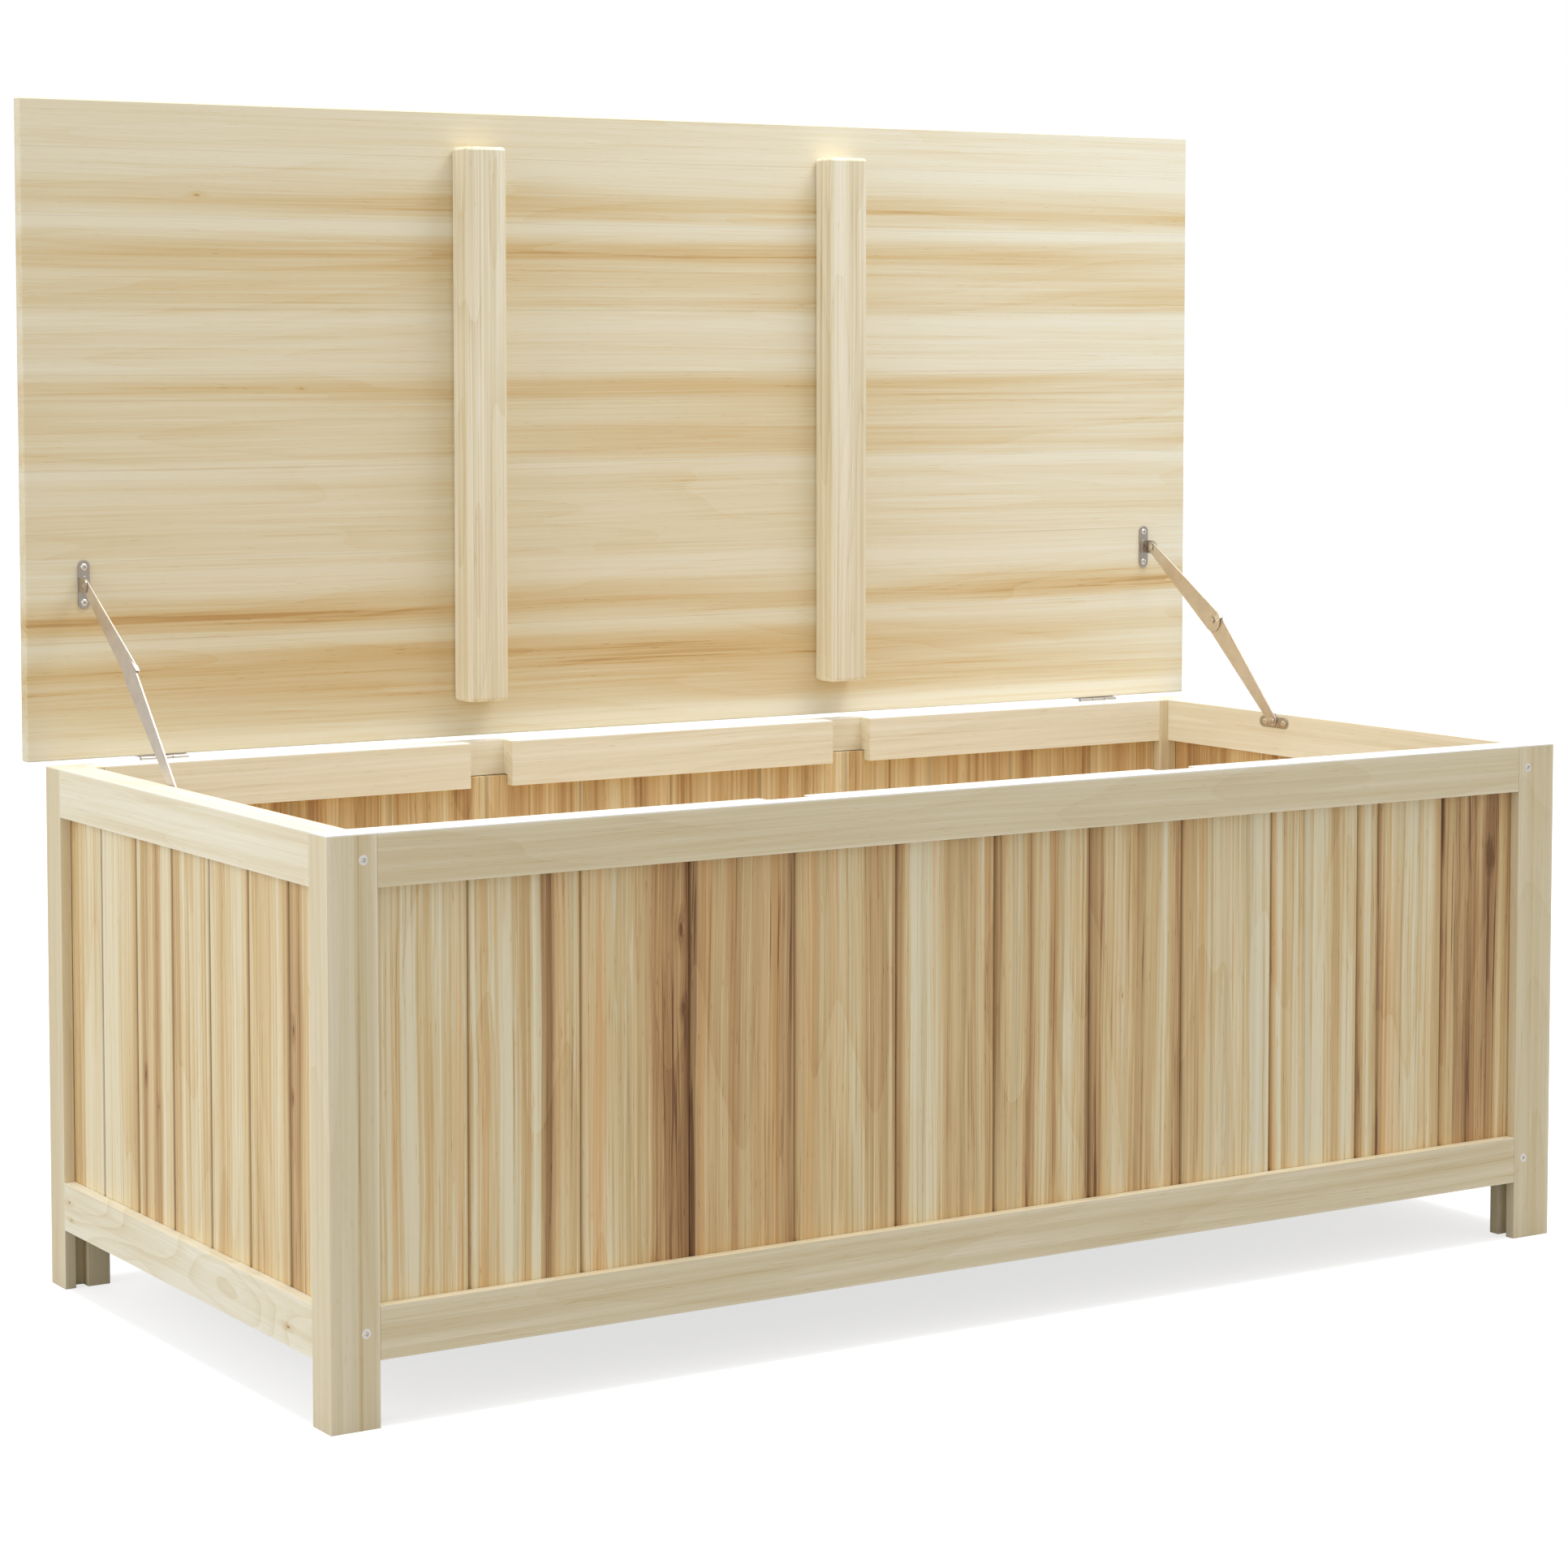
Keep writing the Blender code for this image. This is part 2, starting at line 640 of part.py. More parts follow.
def stay(sname, side):
    """A folding stay: rail bracket, lower arm, upper arm and lid bracket. Its layers
    stack inwards from the side rail's inner face."""
    inward = -side
    wall = side * (LENGTH / 2 - RAIL_T)

    def layer(a):
        return wall + inward * a

    def span(a, b):
        return sorted((layer(a), layer(b)))

    plate0, plate1 = FIT, FIT + PLATE_T
    lower0 = plate1 + FIT
    lower1 = lower0 + ARM_T
    upper0 = lower1 + FIT
    upper1 = upper0 + ARM_T

    # rail bracket: an oval plate on the rail, its long side level
    r = PLATE_W / 2
    half = PLATE_L / 2 - r
    oval = [
        (half + r * math.cos(a), r * math.sin(a))
        for a in [-math.pi / 2 + math.pi * n / 10 for n in range(11)]
    ] + [
        (-half + r * math.cos(a), r * math.sin(a))
        for a in [math.pi / 2 + math.pi * n / 10 for n in range(11)]
    ]
    drop = 0.0015  # the plate's middle is a little below the rivet
    outline(
        f"stay_{sname}_rail_bracket",
        [[(u, v - drop) for u, v in oval]],
        PLATE_T,
        (layer((plate0 + plate1) / 2), *FOOT),
        FLAT_YZ,
        STEEL,
    )
    rivet(
        f"stay_{sname}_foot_rivet", layer(plate1 + FIT), inward, FOOT, ARM_T + FIT, STEEL
    )

    # lower arm, from the rail bracket up to the elbow
    du, dv = ELBOW[0] - FOOT[0], ELBOW[1] - FOOT[1]
    lower_len, lower_dir = math.hypot(du, dv), math.atan2(dv, du)
    arm = tapered(lower_len, ARM_END_R, ARM_ELBOW_R)
    outline(
        f"stay_{sname}_lower_arm",
        [turned(arm, lower_dir), circle(0, 0, RIVET_HOLE_R, 12)],
        ARM_T,
        (layer((lower0 + lower1) / 2), *FOOT),
        FLAT_YZ,
        ARM_STEEL,
    )

    # upper arm, from the lid bracket down to the elbow
    du, dv = ELBOW[0] - LID_PIVOT[0], ELBOW[1] - LID_PIVOT[1]
    upper_len, upper_dir = math.hypot(du, dv), math.atan2(dv, du)
    arm = tapered(upper_len, ARM_END_R, ARM_ELBOW_R)
    upper = outline(
        f"stay_{sname}_upper_arm",
        [
            turned(arm, upper_dir),
            circle(0, 0, RIVET_HOLE_R, 12),
            circle(du, dv, RIVET_HOLE_R, 12),
        ],
        ARM_T,
        (layer((upper0 + upper1) / 2), *LID_PIVOT),
        FLAT_YZ,
        ARM_STEEL,
    )
    hang(upper, LID_AXIS)
    elbow = rivet(
        f"stay_{sname}_elbow_rivet", layer(upper0), inward, ELBOW, ARM_T + FIT, STEEL
    )
    hang(elbow, LID_AXIS)

    # lid bracket: an upright oval plate on the lid's inner face with a lug standing
    # off its outer edge, to which the upper arm is riveted
    plate_mid = LENGTH / 2 - RAIL_T - 0.0060
    lid_plate = outline(
        f"stay_{sname}_lid_bracket",
        [[(v, u) for u, v in reversed(oval)]],
        PLATE_T,
        (side * plate_mid, LID_INNER - FIT - PLATE_T / 2, LID_PIVOT[1]),
        (math.pi / 2, 0, 0),
        STEEL,
    )
    lid_plate = as_mesh(lid_plate)
    a, b = span(lower0, lower1)
    reach = LID_INNER - FIT - PLATE_T / 2 - LID_PIVOT[0]
    lug_r = 0.0058
    lug = [(lug_r * math.cos(t), lug_r * math.sin(t)) for t in [math.pi / 2 + math.pi * n / 8 for n in range(9)]]
    lug += [(reach, -lug_r), (reach, lug_r)]
    lug_tool = outline(
        f"stay_{sname}_lug",
        [lug, circle(0, 0, RIVET_HOLE_R, 12)],
        ARM_T,
        ((a + b) / 2, *LID_PIVOT),
        FLAT_YZ,
        where=CUTTERS,
    )
    join(lid_plate, as_mesh(lug_tool))
    hang(lid_plate, LID_AXIS)
    pin = rivet(
        f"stay_{sname}_lid_rivet",
        layer(lower0),
        inward,
        LID_PIVOT,
        ARM_T * 2 + 2 * FIT,
        STEEL,
    )
    hang(pin, LID_AXIS)


stay("left", -1)
stay("right", 1)
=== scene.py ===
import json
import math

import bmesh
import bpy
from mathutils import Matrix, Vector

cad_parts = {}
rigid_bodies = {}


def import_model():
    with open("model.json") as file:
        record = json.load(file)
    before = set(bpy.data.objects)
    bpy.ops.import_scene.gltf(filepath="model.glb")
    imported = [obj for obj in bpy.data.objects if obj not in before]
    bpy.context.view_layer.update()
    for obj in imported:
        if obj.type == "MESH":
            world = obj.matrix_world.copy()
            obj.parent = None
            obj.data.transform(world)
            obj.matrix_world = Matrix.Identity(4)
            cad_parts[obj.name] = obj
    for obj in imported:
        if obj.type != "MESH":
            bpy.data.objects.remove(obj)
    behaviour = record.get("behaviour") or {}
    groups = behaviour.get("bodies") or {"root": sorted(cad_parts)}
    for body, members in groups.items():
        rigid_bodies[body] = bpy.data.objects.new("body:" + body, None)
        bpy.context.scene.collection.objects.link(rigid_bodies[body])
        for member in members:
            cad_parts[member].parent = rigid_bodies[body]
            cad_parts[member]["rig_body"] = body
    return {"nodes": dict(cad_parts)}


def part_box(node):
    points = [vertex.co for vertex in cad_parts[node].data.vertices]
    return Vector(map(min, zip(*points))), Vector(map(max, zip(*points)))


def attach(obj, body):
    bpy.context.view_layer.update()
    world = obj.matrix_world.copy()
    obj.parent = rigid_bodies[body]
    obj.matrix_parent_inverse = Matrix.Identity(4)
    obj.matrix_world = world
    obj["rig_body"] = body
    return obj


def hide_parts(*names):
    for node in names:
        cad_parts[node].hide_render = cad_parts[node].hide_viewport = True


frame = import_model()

NODES = frame["nodes"]
for stray in list(bpy.data.objects):
    if stray.type in ("LIGHT", "CAMERA") or (stray.type == "MESH" and stray.name not in NODES):
        bpy.data.objects.remove(stray, do_unlink=True)

scene = bpy.context.scene
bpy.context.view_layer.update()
scene.view_settings.view_transform = "Standard"

# the box in the frame's own coordinates, metres
X0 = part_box("post_front_left")[0].x
FRONT_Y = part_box("post_front_left")[0].y
RIM_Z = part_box("post_front_left")[1].z
LID_FACE_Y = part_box("lid_panel")[0].y


# ------------------------------------------------------------------ camera
YAW, PITCH = math.radians(32.292), math.radians(3.685)
camera = bpy.data.objects.new("camera", bpy.data.cameras.new("camera"))
scene.collection.objects.link(camera)
scene.camera = camera
camera.data.lens = 88.30
camera.data.sensor_width = 36
camera.data.shift_y = -0.125
camera.location = (-1.6463, -2.5593, 0.7320)
aim = Vector((math.sin(YAW) * math.cos(PITCH), math.cos(YAW) * math.cos(PITCH), -math.sin(PITCH)))
camera.rotation_euler = aim.to_track_quat("-Z", "Y").to_euler()
camera.data.clip_start, camera.data.clip_end = 0.05, 100


# ------------------------------------------------------------------ light and floor
def area(name, place, target, width, height, power, colour=(1, 1, 1)):
    lamp = bpy.data.lights.new(name, "AREA")
    lamp.shape = "RECTANGLE"
    lamp.size, lamp.size_y = width, height
    lamp.energy = power
    lamp.color = colour
    obj = bpy.data.objects.new(name, lamp)
    obj.location = place
    obj.rotation_euler = (Vector(target) - Vector(place)).to_track_quat("-Z", "Y").to_euler()
    scene.collection.objects.link(obj)
    return obj


area("key", (0.75, -0.35, 2.3), (0.0, 0.15, 0.3), 1.2, 0.9, 20, (1.0, 0.995, 0.985))
area("left_fill", (-3.4, -0.2, 1.5), (0, 0, 0.35), 2.2, 2.0, 30, (1.0, 0.995, 0.99))
overhead = bpy.data.objects.new("overhead", bpy.data.lights.new("overhead", "SUN"))
overhead.data.energy = 1.9
overhead.data.color = (0.88, 0.95, 1.0)
overhead.data.angle = math.radians(12)
scene.collection.objects.link(overhead)
area("back_fill", (0.5, 3.6, 1.8), (0, 0, 0.4), 3.0, 2.0, 22)

AMBIENT = 0.71
FLOOR_GLOW = 0.70
world = bpy.data.worlds.new("studio")
scene.world = world
world.use_nodes = True
tree = world.node_tree
backdrop = tree.nodes["Background"]
backdrop.inputs["Color"].default_value = (1, 1, 1, 1)
rays = tree.nodes.new("ShaderNodeLightPath")
strength = tree.nodes.new("ShaderNodeMapRange")
strength.inputs[3].default_value = AMBIENT
strength.inputs[4].default_value = 1.0
tree.links.new(rays.outputs["Is Camera Ray"], strength.inputs[0])
tree.links.new(strength.outputs[0], backdrop.inputs["Strength"])


# ------------------------------------------------------------------ shader writing
def lin(rgb):
    """sRGB 0-255 to linear."""
    out = []
    for c in rgb:
        c /= 255
        out.append(c / 12.92 if c <= 0.04045 else ((c + 0.055) / 1.055) ** 2.4)
    return (*out, 1.0)


class Mat:
    """A small writer of node materials. Each method adds a node and returns its output."""

    def __init__(self, name):
        self.mat = bpy.data.materials.new(name)
        self.mat.use_nodes = True
        self.tree = self.mat.node_tree
        self.shader = self.tree.nodes["Principled BSDF"]
        self.column = 0

    def node(self, kind, **props):
        n = self.tree.nodes.new(kind)
        for k, v in props.items():
            setattr(n, k, v)
        self.column += 1
        n.location = (-200 * (self.column % 12) - 300, -180 * (self.column // 12))
        return n

    def put(self, socket, value):
        if isinstance(value, bpy.types.NodeSocket):
            self.tree.links.new(value, socket)
        else:
            socket.default_value = value

    def math(self, op, a, b=0.0, clamp=False):
        n = self.node("ShaderNodeMath", operation=op, use_clamp=clamp)
        self.put(n.inputs[0], a)
        self.put(n.inputs[1], b)
        return n.outputs[0]

    def add(self, *terms):
        total = terms[0]
        for t in terms[1:]:
            total = self.math("ADD", total, t)
        return total

    def mul(self, a, b):
        return self.math("MULTIPLY", a, b)

    def xyz(self, x, y, z):
        n = self.node("ShaderNodeCombineXYZ")
        for s, v in zip(n.inputs, (x, y, z)):
            self.put(s, v)
        return n.outputs[0]

    def noise(self, vector, detail=2.0, rough=0.5, scale=1.0, distortion=0.0):
        n = self.node("ShaderNodeTexNoise", noise_dimensions="3D")
        self.put(n.inputs["Vector"], vector)
        self.put(n.inputs["Scale"], scale)
        self.put(n.inputs["Detail"], detail)
        self.put(n.inputs["Roughness"], rough)
        self.put(n.inputs["Distortion"], distortion)
        return n.outputs["Fac"]

    def line_noise(self, w, scale, detail=2.0, rough=0.5):
        n = self.node("ShaderNodeTexNoise", noise_dimensions="1D")
        self.put(n.inputs["W"], w)
        self.put(n.inputs["Scale"], scale)
        self.put(n.inputs["Detail"], detail)
        self.put(n.inputs["Roughness"], rough)
        return n.outputs["Fac"]

    def span(self, value, a, b, c=0.0, d=1.0, smooth=True):
        """value mapped from a..b to c..d and held there."""
        n = self.node("ShaderNodeMapRange", interpolation_type="SMOOTHSTEP" if smooth else "LINEAR")
        for s, v in zip((n.inputs[0], n.inputs[1], n.inputs[2], n.inputs[3], n.inputs[4]), (value, a, b, c, d)):
            self.put(s, v)
        return n.outputs[0]

    def ramp(self, fac, stops, how="LINEAR"):
        n = self.node("ShaderNodeValToRGB")
        r = n.color_ramp
        r.interpolation = how
        while len(r.elements) > 1:
            r.elements.remove(r.elements[-1])
        for i, (at, colour) in enumerate(stops):
            e = r.elements[0] if i == 0 else r.elements.new(at)
            e.position = at
            e.color = colour if hasattr(colour, "__len__") else (colour, colour, colour, 1)
        self.put(n.inputs[0], fac)
        return n.outputs[0]

    def mix(self, fac, a, b, how="MIX"):
        n = self.node("ShaderNodeMix", data_type="RGBA", blend_type=how)
        self.put(n.inputs[0], fac)
        self.put(n.inputs[6], a)
        self.put(n.inputs[7], b)
        return n.outputs[2]

    def bump(self, height, strength, distance):
        n = self.node("ShaderNodeBump")
        n.inputs["Strength"].default_value = strength
        n.inputs["Distance"].default_value = distance
        self.put(n.inputs["Height"], height)
        self.put(self.shader.inputs["Normal"], n.outputs[0])

    def out(self, name, value):
        self.put(self.shader.inputs[name], value)


# Wood colours by tone, from sapwood at 0 to dark heart streaks at 1.
FRAME_TONES = [(0.0, (235, 223, 198)), (0.25, (223, 208, 175)), (0.5, (212, 194, 154)), (0.75, (197, 170, 122)), (1.0, (155, 116, 75))]
BATTEN_TONES = [(0.0, (241, 233, 212)), (0.25, (229, 218, 189)), (0.5, (218, 202, 167)), (0.75, (202, 177, 132)), (1.0, (158, 121, 80))]
BOARD_TONES = [(0.0, (235, 223, 191)), (0.12, (228, 209, 168)), (0.25, (221, 194, 145)), (0.40, (209, 177, 127)),
               (0.55, (193, 157, 109)), (0.72, (172, 133, 89)), (0.88, (150, 111, 73)), (1.0, (124, 86, 53))]
PALE_TONES = [(0.0, (246, 239, 220)), (0.25, (236, 226, 200)), (0.5, (225, 210, 176)), (0.75, (206, 182, 138)), (1.0, (160, 123, 82))]
LID_TONES = [(0.0, (244, 238, 218)), (0.3, (238, 227, 198)), (0.55, (232, 214, 176)), (0.8, (225, 198, 148)), (1.0, (204, 165, 108))]
FLOOR_TONES = [(0.0, (242, 236, 222)), (0.4, (234, 225, 205)), (0.7, (216, 201, 172)), (1.0, (172, 146, 112))]

AXES = "XYZ"


def ramp_of(m, value, stops):
    """Tone against place for a list of any length: ramps of 31 stops that follow one another."""
    total = None
    for i in range(0, len(stops) - 1, 30):
        part = stops[i : i + 31]
        lo, hi = part[0][0], part[-1][0]
        place = m.span(value, lo, hi, 0.0, 1.0, smooth=False)
        tone = m.ramp(place, [((x - lo) / (hi - lo), v) for x, v in part], "LINEAR")
        if total is None:
            total = tone
        else:
            past = m.math("GREATER_THAN", value, lo)
            total = m.add(m.mul(total, m.math("SUBTRACT", 1.0, past)), m.mul(tone, past))
    return total


def wood(name, limits, grain, width, seed, tones, base=0.25, profile=None, band=0.28, line=0.18, streak=0.22,
         warp=0.004, arch=0.0, knots=(), edge=0.16, joints=(), glued=(), pink=0.0, band_size=0.022, gloss=0.0,
         line_size=0.0032, edge_dirt=False, figure=0.02, fade=0.0, tone_scale=1.0, crisp=0.13, heart=0.0,
         shade=None, outer=None, rim=0.0, contour=(0.09, 1.1, 10.0, 11.0), hue=0.0, joint_dirt=0.34):
    """Planed softwood. grain and width are axis letters. The tone runs across the width and
    drifts slowly along the grain. profile is (place across the width in metres, tone) for
    each stripe. joints are the places across the width where boards meet in a groove, and
    glued where staves meet flush: the grain starts anew at each."""
    m = Mat(name)
    low, high = limits
    depth = (set(AXES) - {grain, width}).pop()
    where = m.node("ShaderNodeTexCoord").outputs["Object"]
    parts = m.node("ShaderNodeSeparateXYZ")
    m.put(parts.inputs[0], where)
    axis = {a: parts.outputs[i] for i, a in enumerate(AXES)}
    g, w, t = axis[grain], axis[width], axis[depth]
    gi, wi, ti = AXES.index(grain), AXES.index(width), AXES.index(depth)

    cuts = sorted(list(joints) + list(glued))
    if cuts:
        lo, hi = low[wi], high[wi]
        inside = [c for c in cuts if lo < c < hi]
        place = m.span(w, lo, hi, 0.0, 1.0, smooth=False)
        stops = [(0.0, 0.0)] + [((c - lo) / (hi - lo), ((i + 1) * 0.381966) % 1.0) for i, c in enumerate(inside)]
        stave = m.ramp(place, stops, "CONSTANT")
        gs = m.add(g, m.mul(stave, 23.0), seed * 3.17)
    else:
        stave = None
        gs = m.add(g, seed * 3.17)

    # the fibres wander a little, on a long and a short wave
    slow = m.noise(m.xyz(m.mul(gs, 2.3), m.mul(w, 7.0), m.mul(t, 7.0)), 1.0)
    quick = m.noise(m.xyz(m.mul(gs, 11.0), m.mul(w, 30.0), m.mul(t, 30.0)), 1.0)
    drift = m.add(m.mul(m.math("SUBTRACT", slow, 0.5), warp * 2.6), m.mul(m.math("SUBTRACT", quick, 0.5), warp * 0.5))
    ww = m.add(w, drift)
    tt = m.add(t, m.mul(m.math("SUBTRACT", quick, 0.5), warp))
    for kg, kw, size, dark in knots:
        # the fibres part around a knot
        dg = m.math("SUBTRACT", g, kg)
        dw = m.math("SUBTRACT", w, kw)
        far = m.add(m.mul(m.mul(dg, dg), 0.10), m.mul(dw, dw))
        push = m.math("DIVIDE", m.mul(dw, size * size * 1.6), m.add(far, size * size * 0.5))
        ww = m.math("SUBTRACT", ww, push)
    # growth rings about a pith outside the piece: straight lines where they stand on
    # edge, arches where the face lies along them
    pith_w = (low[wi] + high[wi]) / 2 + (0.9 if arch == 0 else 0.05) * (high[wi] - low[wi] + 0.03)
    pith_t = low[ti] - (0.03 if arch == 0 else 0.012)
    swirl = m.noise(m.xyz(m.mul(gs, 1.3), m.mul(w, 17.0), m.mul(t, 17.0)), 1.0)
    rw = m.add(ww, m.mul(m.math("SUBTRACT", swirl, 0.5), figure), -pith_w)
    rt = m.add(tt, -pith_t)
    if arch:
        rise = m.noise(m.xyz(m.mul(gs, 1.3 + arch * 2.0), seed * 1.7, 0.0), 1.0)
        rt = m.add(rt, m.mul(m.math("SUBTRACT", rise, 0.5), arch * 0.09))
    rings = m.math("SQRT", m.add(m.mul(rw, rw), m.mul(rt, rt)))
    if stave is not None:
        rings = m.add(rings, m.mul(stave, 9.0))
    bands = m.line_noise(m.add(rings, seed * 5.3), 1.0 / band_size, 2.0, 0.55)
    lines = m.line_noise(m.add(rings, seed * 2.9), 1.0 / line_size, 3.0, 0.65)
    # long streaks that start and stop
    streaks = m.noise(m.xyz(m.mul(gs, 2.2), m.mul(ww, 150.0), m.mul(tt, 150.0)), 3.0, 0.6)
    fibre = m.noise(m.xyz(m.mul(gs, 26.0), m.mul(ww, 1300.0), m.mul(tt, 1300.0)), 2.0, 0.6)
    cloud = m.noise(m.xyz(m.mul(gs, 2.6), m.mul(w, 9.0), m.mul(t, 9.0)), 2.0, 0.5)

    # fine lines: some dark, some pale, none of them running the whole length
    fine = m.noise(m.xyz(m.mul(gs, 3.1), m.mul(ww, 430.0), m.mul(tt, 430.0)), 2.0, 0.65)
    dark_lines = m.span(fine, 0.555, 0.70)
    pale_lines = m.span(fine, 0.435, 0.33)

    ragged_w = m.add(ww, m.mul(m.math("SUBTRACT", fine, 0.5), 0.006))
    # part of the way to steps of uneven width, which gives the stripes firm edges
    uneven = m.mul(m.line_noise(m.add(ww, seed), 130.0, 1.0), 0.010)
    stepped = m.mul(m.math("FLOOR", m.mul(m.add(ragged_w, uneven), 240.0)), 1.0 / 240.0)
    ragged_w = m.add(m.mul(ragged_w, 0.45), m.mul(m.math("SUBTRACT", stepped, uneven), 0.55), 0.0011)
    tone = ramp_of(m, ragged_w, profile) if profile else base
    if tone_scale != 1.0:
        tone = m.mul(tone, tone_scale)
    if fade:
        # a stripe grows and fades along its length
        swell = m.noise(m.xyz(m.mul(gs, 2.0), m.mul(ww, 26.0), m.mul(t, 26.0)), 1.0)
        tone = m.mul(tone, m.span(swell, 0.25, 0.75, 1.0 - fade, 1.0 + fade, smooth=False))
    tone = m.add(
        tone,
        m.mul(m.math("SUBTRACT", bands, 0.5), band * 1.7),
        m.mul(m.math("SUBTRACT", lines, 0.5), line * 1.6),
        m.mul(m.math("SUBTRACT", streaks, 0.5), streak * 1.8),
        m.mul(m.math("SUBTRACT", fibre, 0.5), 0.10),
        m.mul(m.math("SUBTRACT", cloud, 0.5), 0.22),
        m.mul(dark_lines, crisp),
        m.mul(pale_lines, -0.7 * crisp),
    )
    if heart:
        # black cracks and resin lines in dark heartwood only
        crack = m.noise(m.xyz(m.mul(gs, 5.2), m.mul(ww, 210.0), m.mul(tt, 60.0)), 2.0, 0.6, distortion=0.4)
        tone = m.add(tone, m.mul(m.mul(m.span(crack, 0.57, 0.68), m.span(tone, 0.42, 0.78)), heart))
    if contour:
        # the figure of a flat-sawn face: each ring darkens slowly and ends sharply
        hill = m.noise(m.xyz(m.mul(gs, contour[1]), m.mul(ww, contour[2]), m.mul(tt, contour[2])), 1.5, 0.45)
        ring = m.math("FRACT", m.mul(hill, contour[3]))
        tone = m.add(tone, m.mul(m.math("SUBTRACT", m.mul(m.mul(ring, ring), ring), 0.25), contour[0]))
    # short dark pores
    pores = m.noise(m.xyz(m.mul(gs, 62.0), m.mul(ww, 700.0), m.mul(tt, 700.0)), 1.0)
    flecks = m.span(pores, 0.67, 0.77)
    tone = m.add(tone, m.mul(flecks, 0.16))
    for kg, kw, size, dark in knots:
        dg = m.math("SUBTRACT", g, kg)
        dw = m.math("SUBTRACT", w, kw)
        ragged = m.noise(m.xyz(m.mul(g, 160.0), m.mul(w, 300.0), m.mul(t, 300.0)), 2.0)
        far = m.math("SQRT", m.add(m.mul(m.mul(dg, dg), 0.12), m.mul(dw, dw)))
        far = m.mul(far, m.add(ragged, 0.6))
        tone = m.add(tone, m.mul(m.span(far, size, 0.0), dark), m.mul(m.span(far, size * 3.4, size), dark * 0.35))
    tone = m.math("ADD", tone, 0.0, clamp=True)
    colour = m.ramp(tone, [(p, lin(c)) for p, c in tones])
    if hue:
        # some stripes lean to orange, some to grey
        lean = m.noise(m.xyz(m.mul(gs, 0.8), m.mul(ww, 85.0), m.mul(tt, 85.0)), 1.0)
        colour = m.mix(m.mul(m.span(lean, 0.57, 0.68), hue), colour, lin((255, 220, 182)), "MULTIPLY")
        colour = m.mix(m.mul(m.span(lean, 0.43, 0.32), hue), colour, lin((226, 228, 226)), "MULTIPLY")
    if pink:
        blush = m.span(m.noise(m.xyz(m.mul(gs, 1.7), m.mul(ww, 34.0), m.mul(tt, 34.0)), 1.0), 0.45, 0.75)
        colour = m.mix(m.mul(blush, pink), colour, lin((255, 226, 200)), "MULTIPLY")

    if shade:
        # painted shade: one end of the board is darkened and yellowed, standing in for the light that falls less on
        # that end
        where_to, start, end, tint = shade
        colour = m.mix(m.span(axis[where_to], start, end, 1.0, 0.0), colour, (*tint, 1.0), "MULTIPLY")
    if outer:
        # painted shade: the outer face is darkened to a deeper gold, holding down the light that falls on it
        colour = m.mix(m.span(t, high[ti] - 0.0030, high[ti] - 0.0008), colour, (*outer, 1.0), "MULTIPLY")

    def from_edge(v, i):
        return m.math("MINIMUM", m.math("ABSOLUTE", m.math("SUBTRACT", v, low[i])), m.math("ABSOLUTE", m.math("SUBTRACT", v, high[i])))

    ew, et = from_edge(w, wi), from_edge(t, ti)
    # the long edges are rubbed paler by handling
    worn = m.span(m.add(m.math("MAXIMUM", ew, et), m.mul(quick, 0.0012)), 0.0032, 0.0008)
    if edge:
        colour = m.mix(m.mul(worn, edge), colour, lin((255, 248, 226)))
    # painted shade: each board is darkened along its long edges, in the grooves between the boards
    if edge_dirt:
        dirt = m.span(ew, 0.0016, 0.0002)
        colour = m.mix(m.mul(dirt, 0.34), colour, lin((70, 50, 30)))
    # painted shade: a dark line is painted along each groove between the boards
    if joints:
        pitch = (joints[-1] - joints[0]) / (len(joints) - 1)
        turn = m.math("FRACT", m.mul(m.add(w, -joints[0] + pitch * 20.5), 1.0 / pitch))
        gap = m.mul(m.math("ABSOLUTE", m.math("SUBTRACT", turn, 0.5)), pitch)
        colour = m.mix(m.mul(m.span(gap, 0.0024, 0.0006), joint_dirt), colour, lin((88, 64, 38)))
    if glued:
        # a hair line where two staves meet
        for c in glued:
            gap = m.math("ABSOLUTE", m.math("SUBTRACT", w, c))
            colour = m.mix(m.mul(m.span(gap, 0.0005, 0.0001), 0.13), colour, lin((120, 84, 46)))
    if rim:
        # painted highlight: the rim's top is painted near white, standing in for the strong light from above
        colour = m.mix(m.mul(m.span(axis["Z"], RIM_Z - 0.0014, RIM_Z - 0.0004), rim), colour, lin((253, 251, 246)))
    m.out("Base Color", colour)
    m.out("Roughness", m.add(m.mul(lines, 0.12), m.mul(fibre, 0.10), m.mul(worn, -0.08), 0.44 - gloss))
    m.shader.inputs["Specular IOR Level"].default_value = 0.35
    height = m.add(m.mul(fibre, 0.55), m.mul(lines, 0.45), m.mul(flecks, -0.6), m.mul(streaks, 0.3))
    m.bump(height, 0.35, 0.00035)
    return m.mat


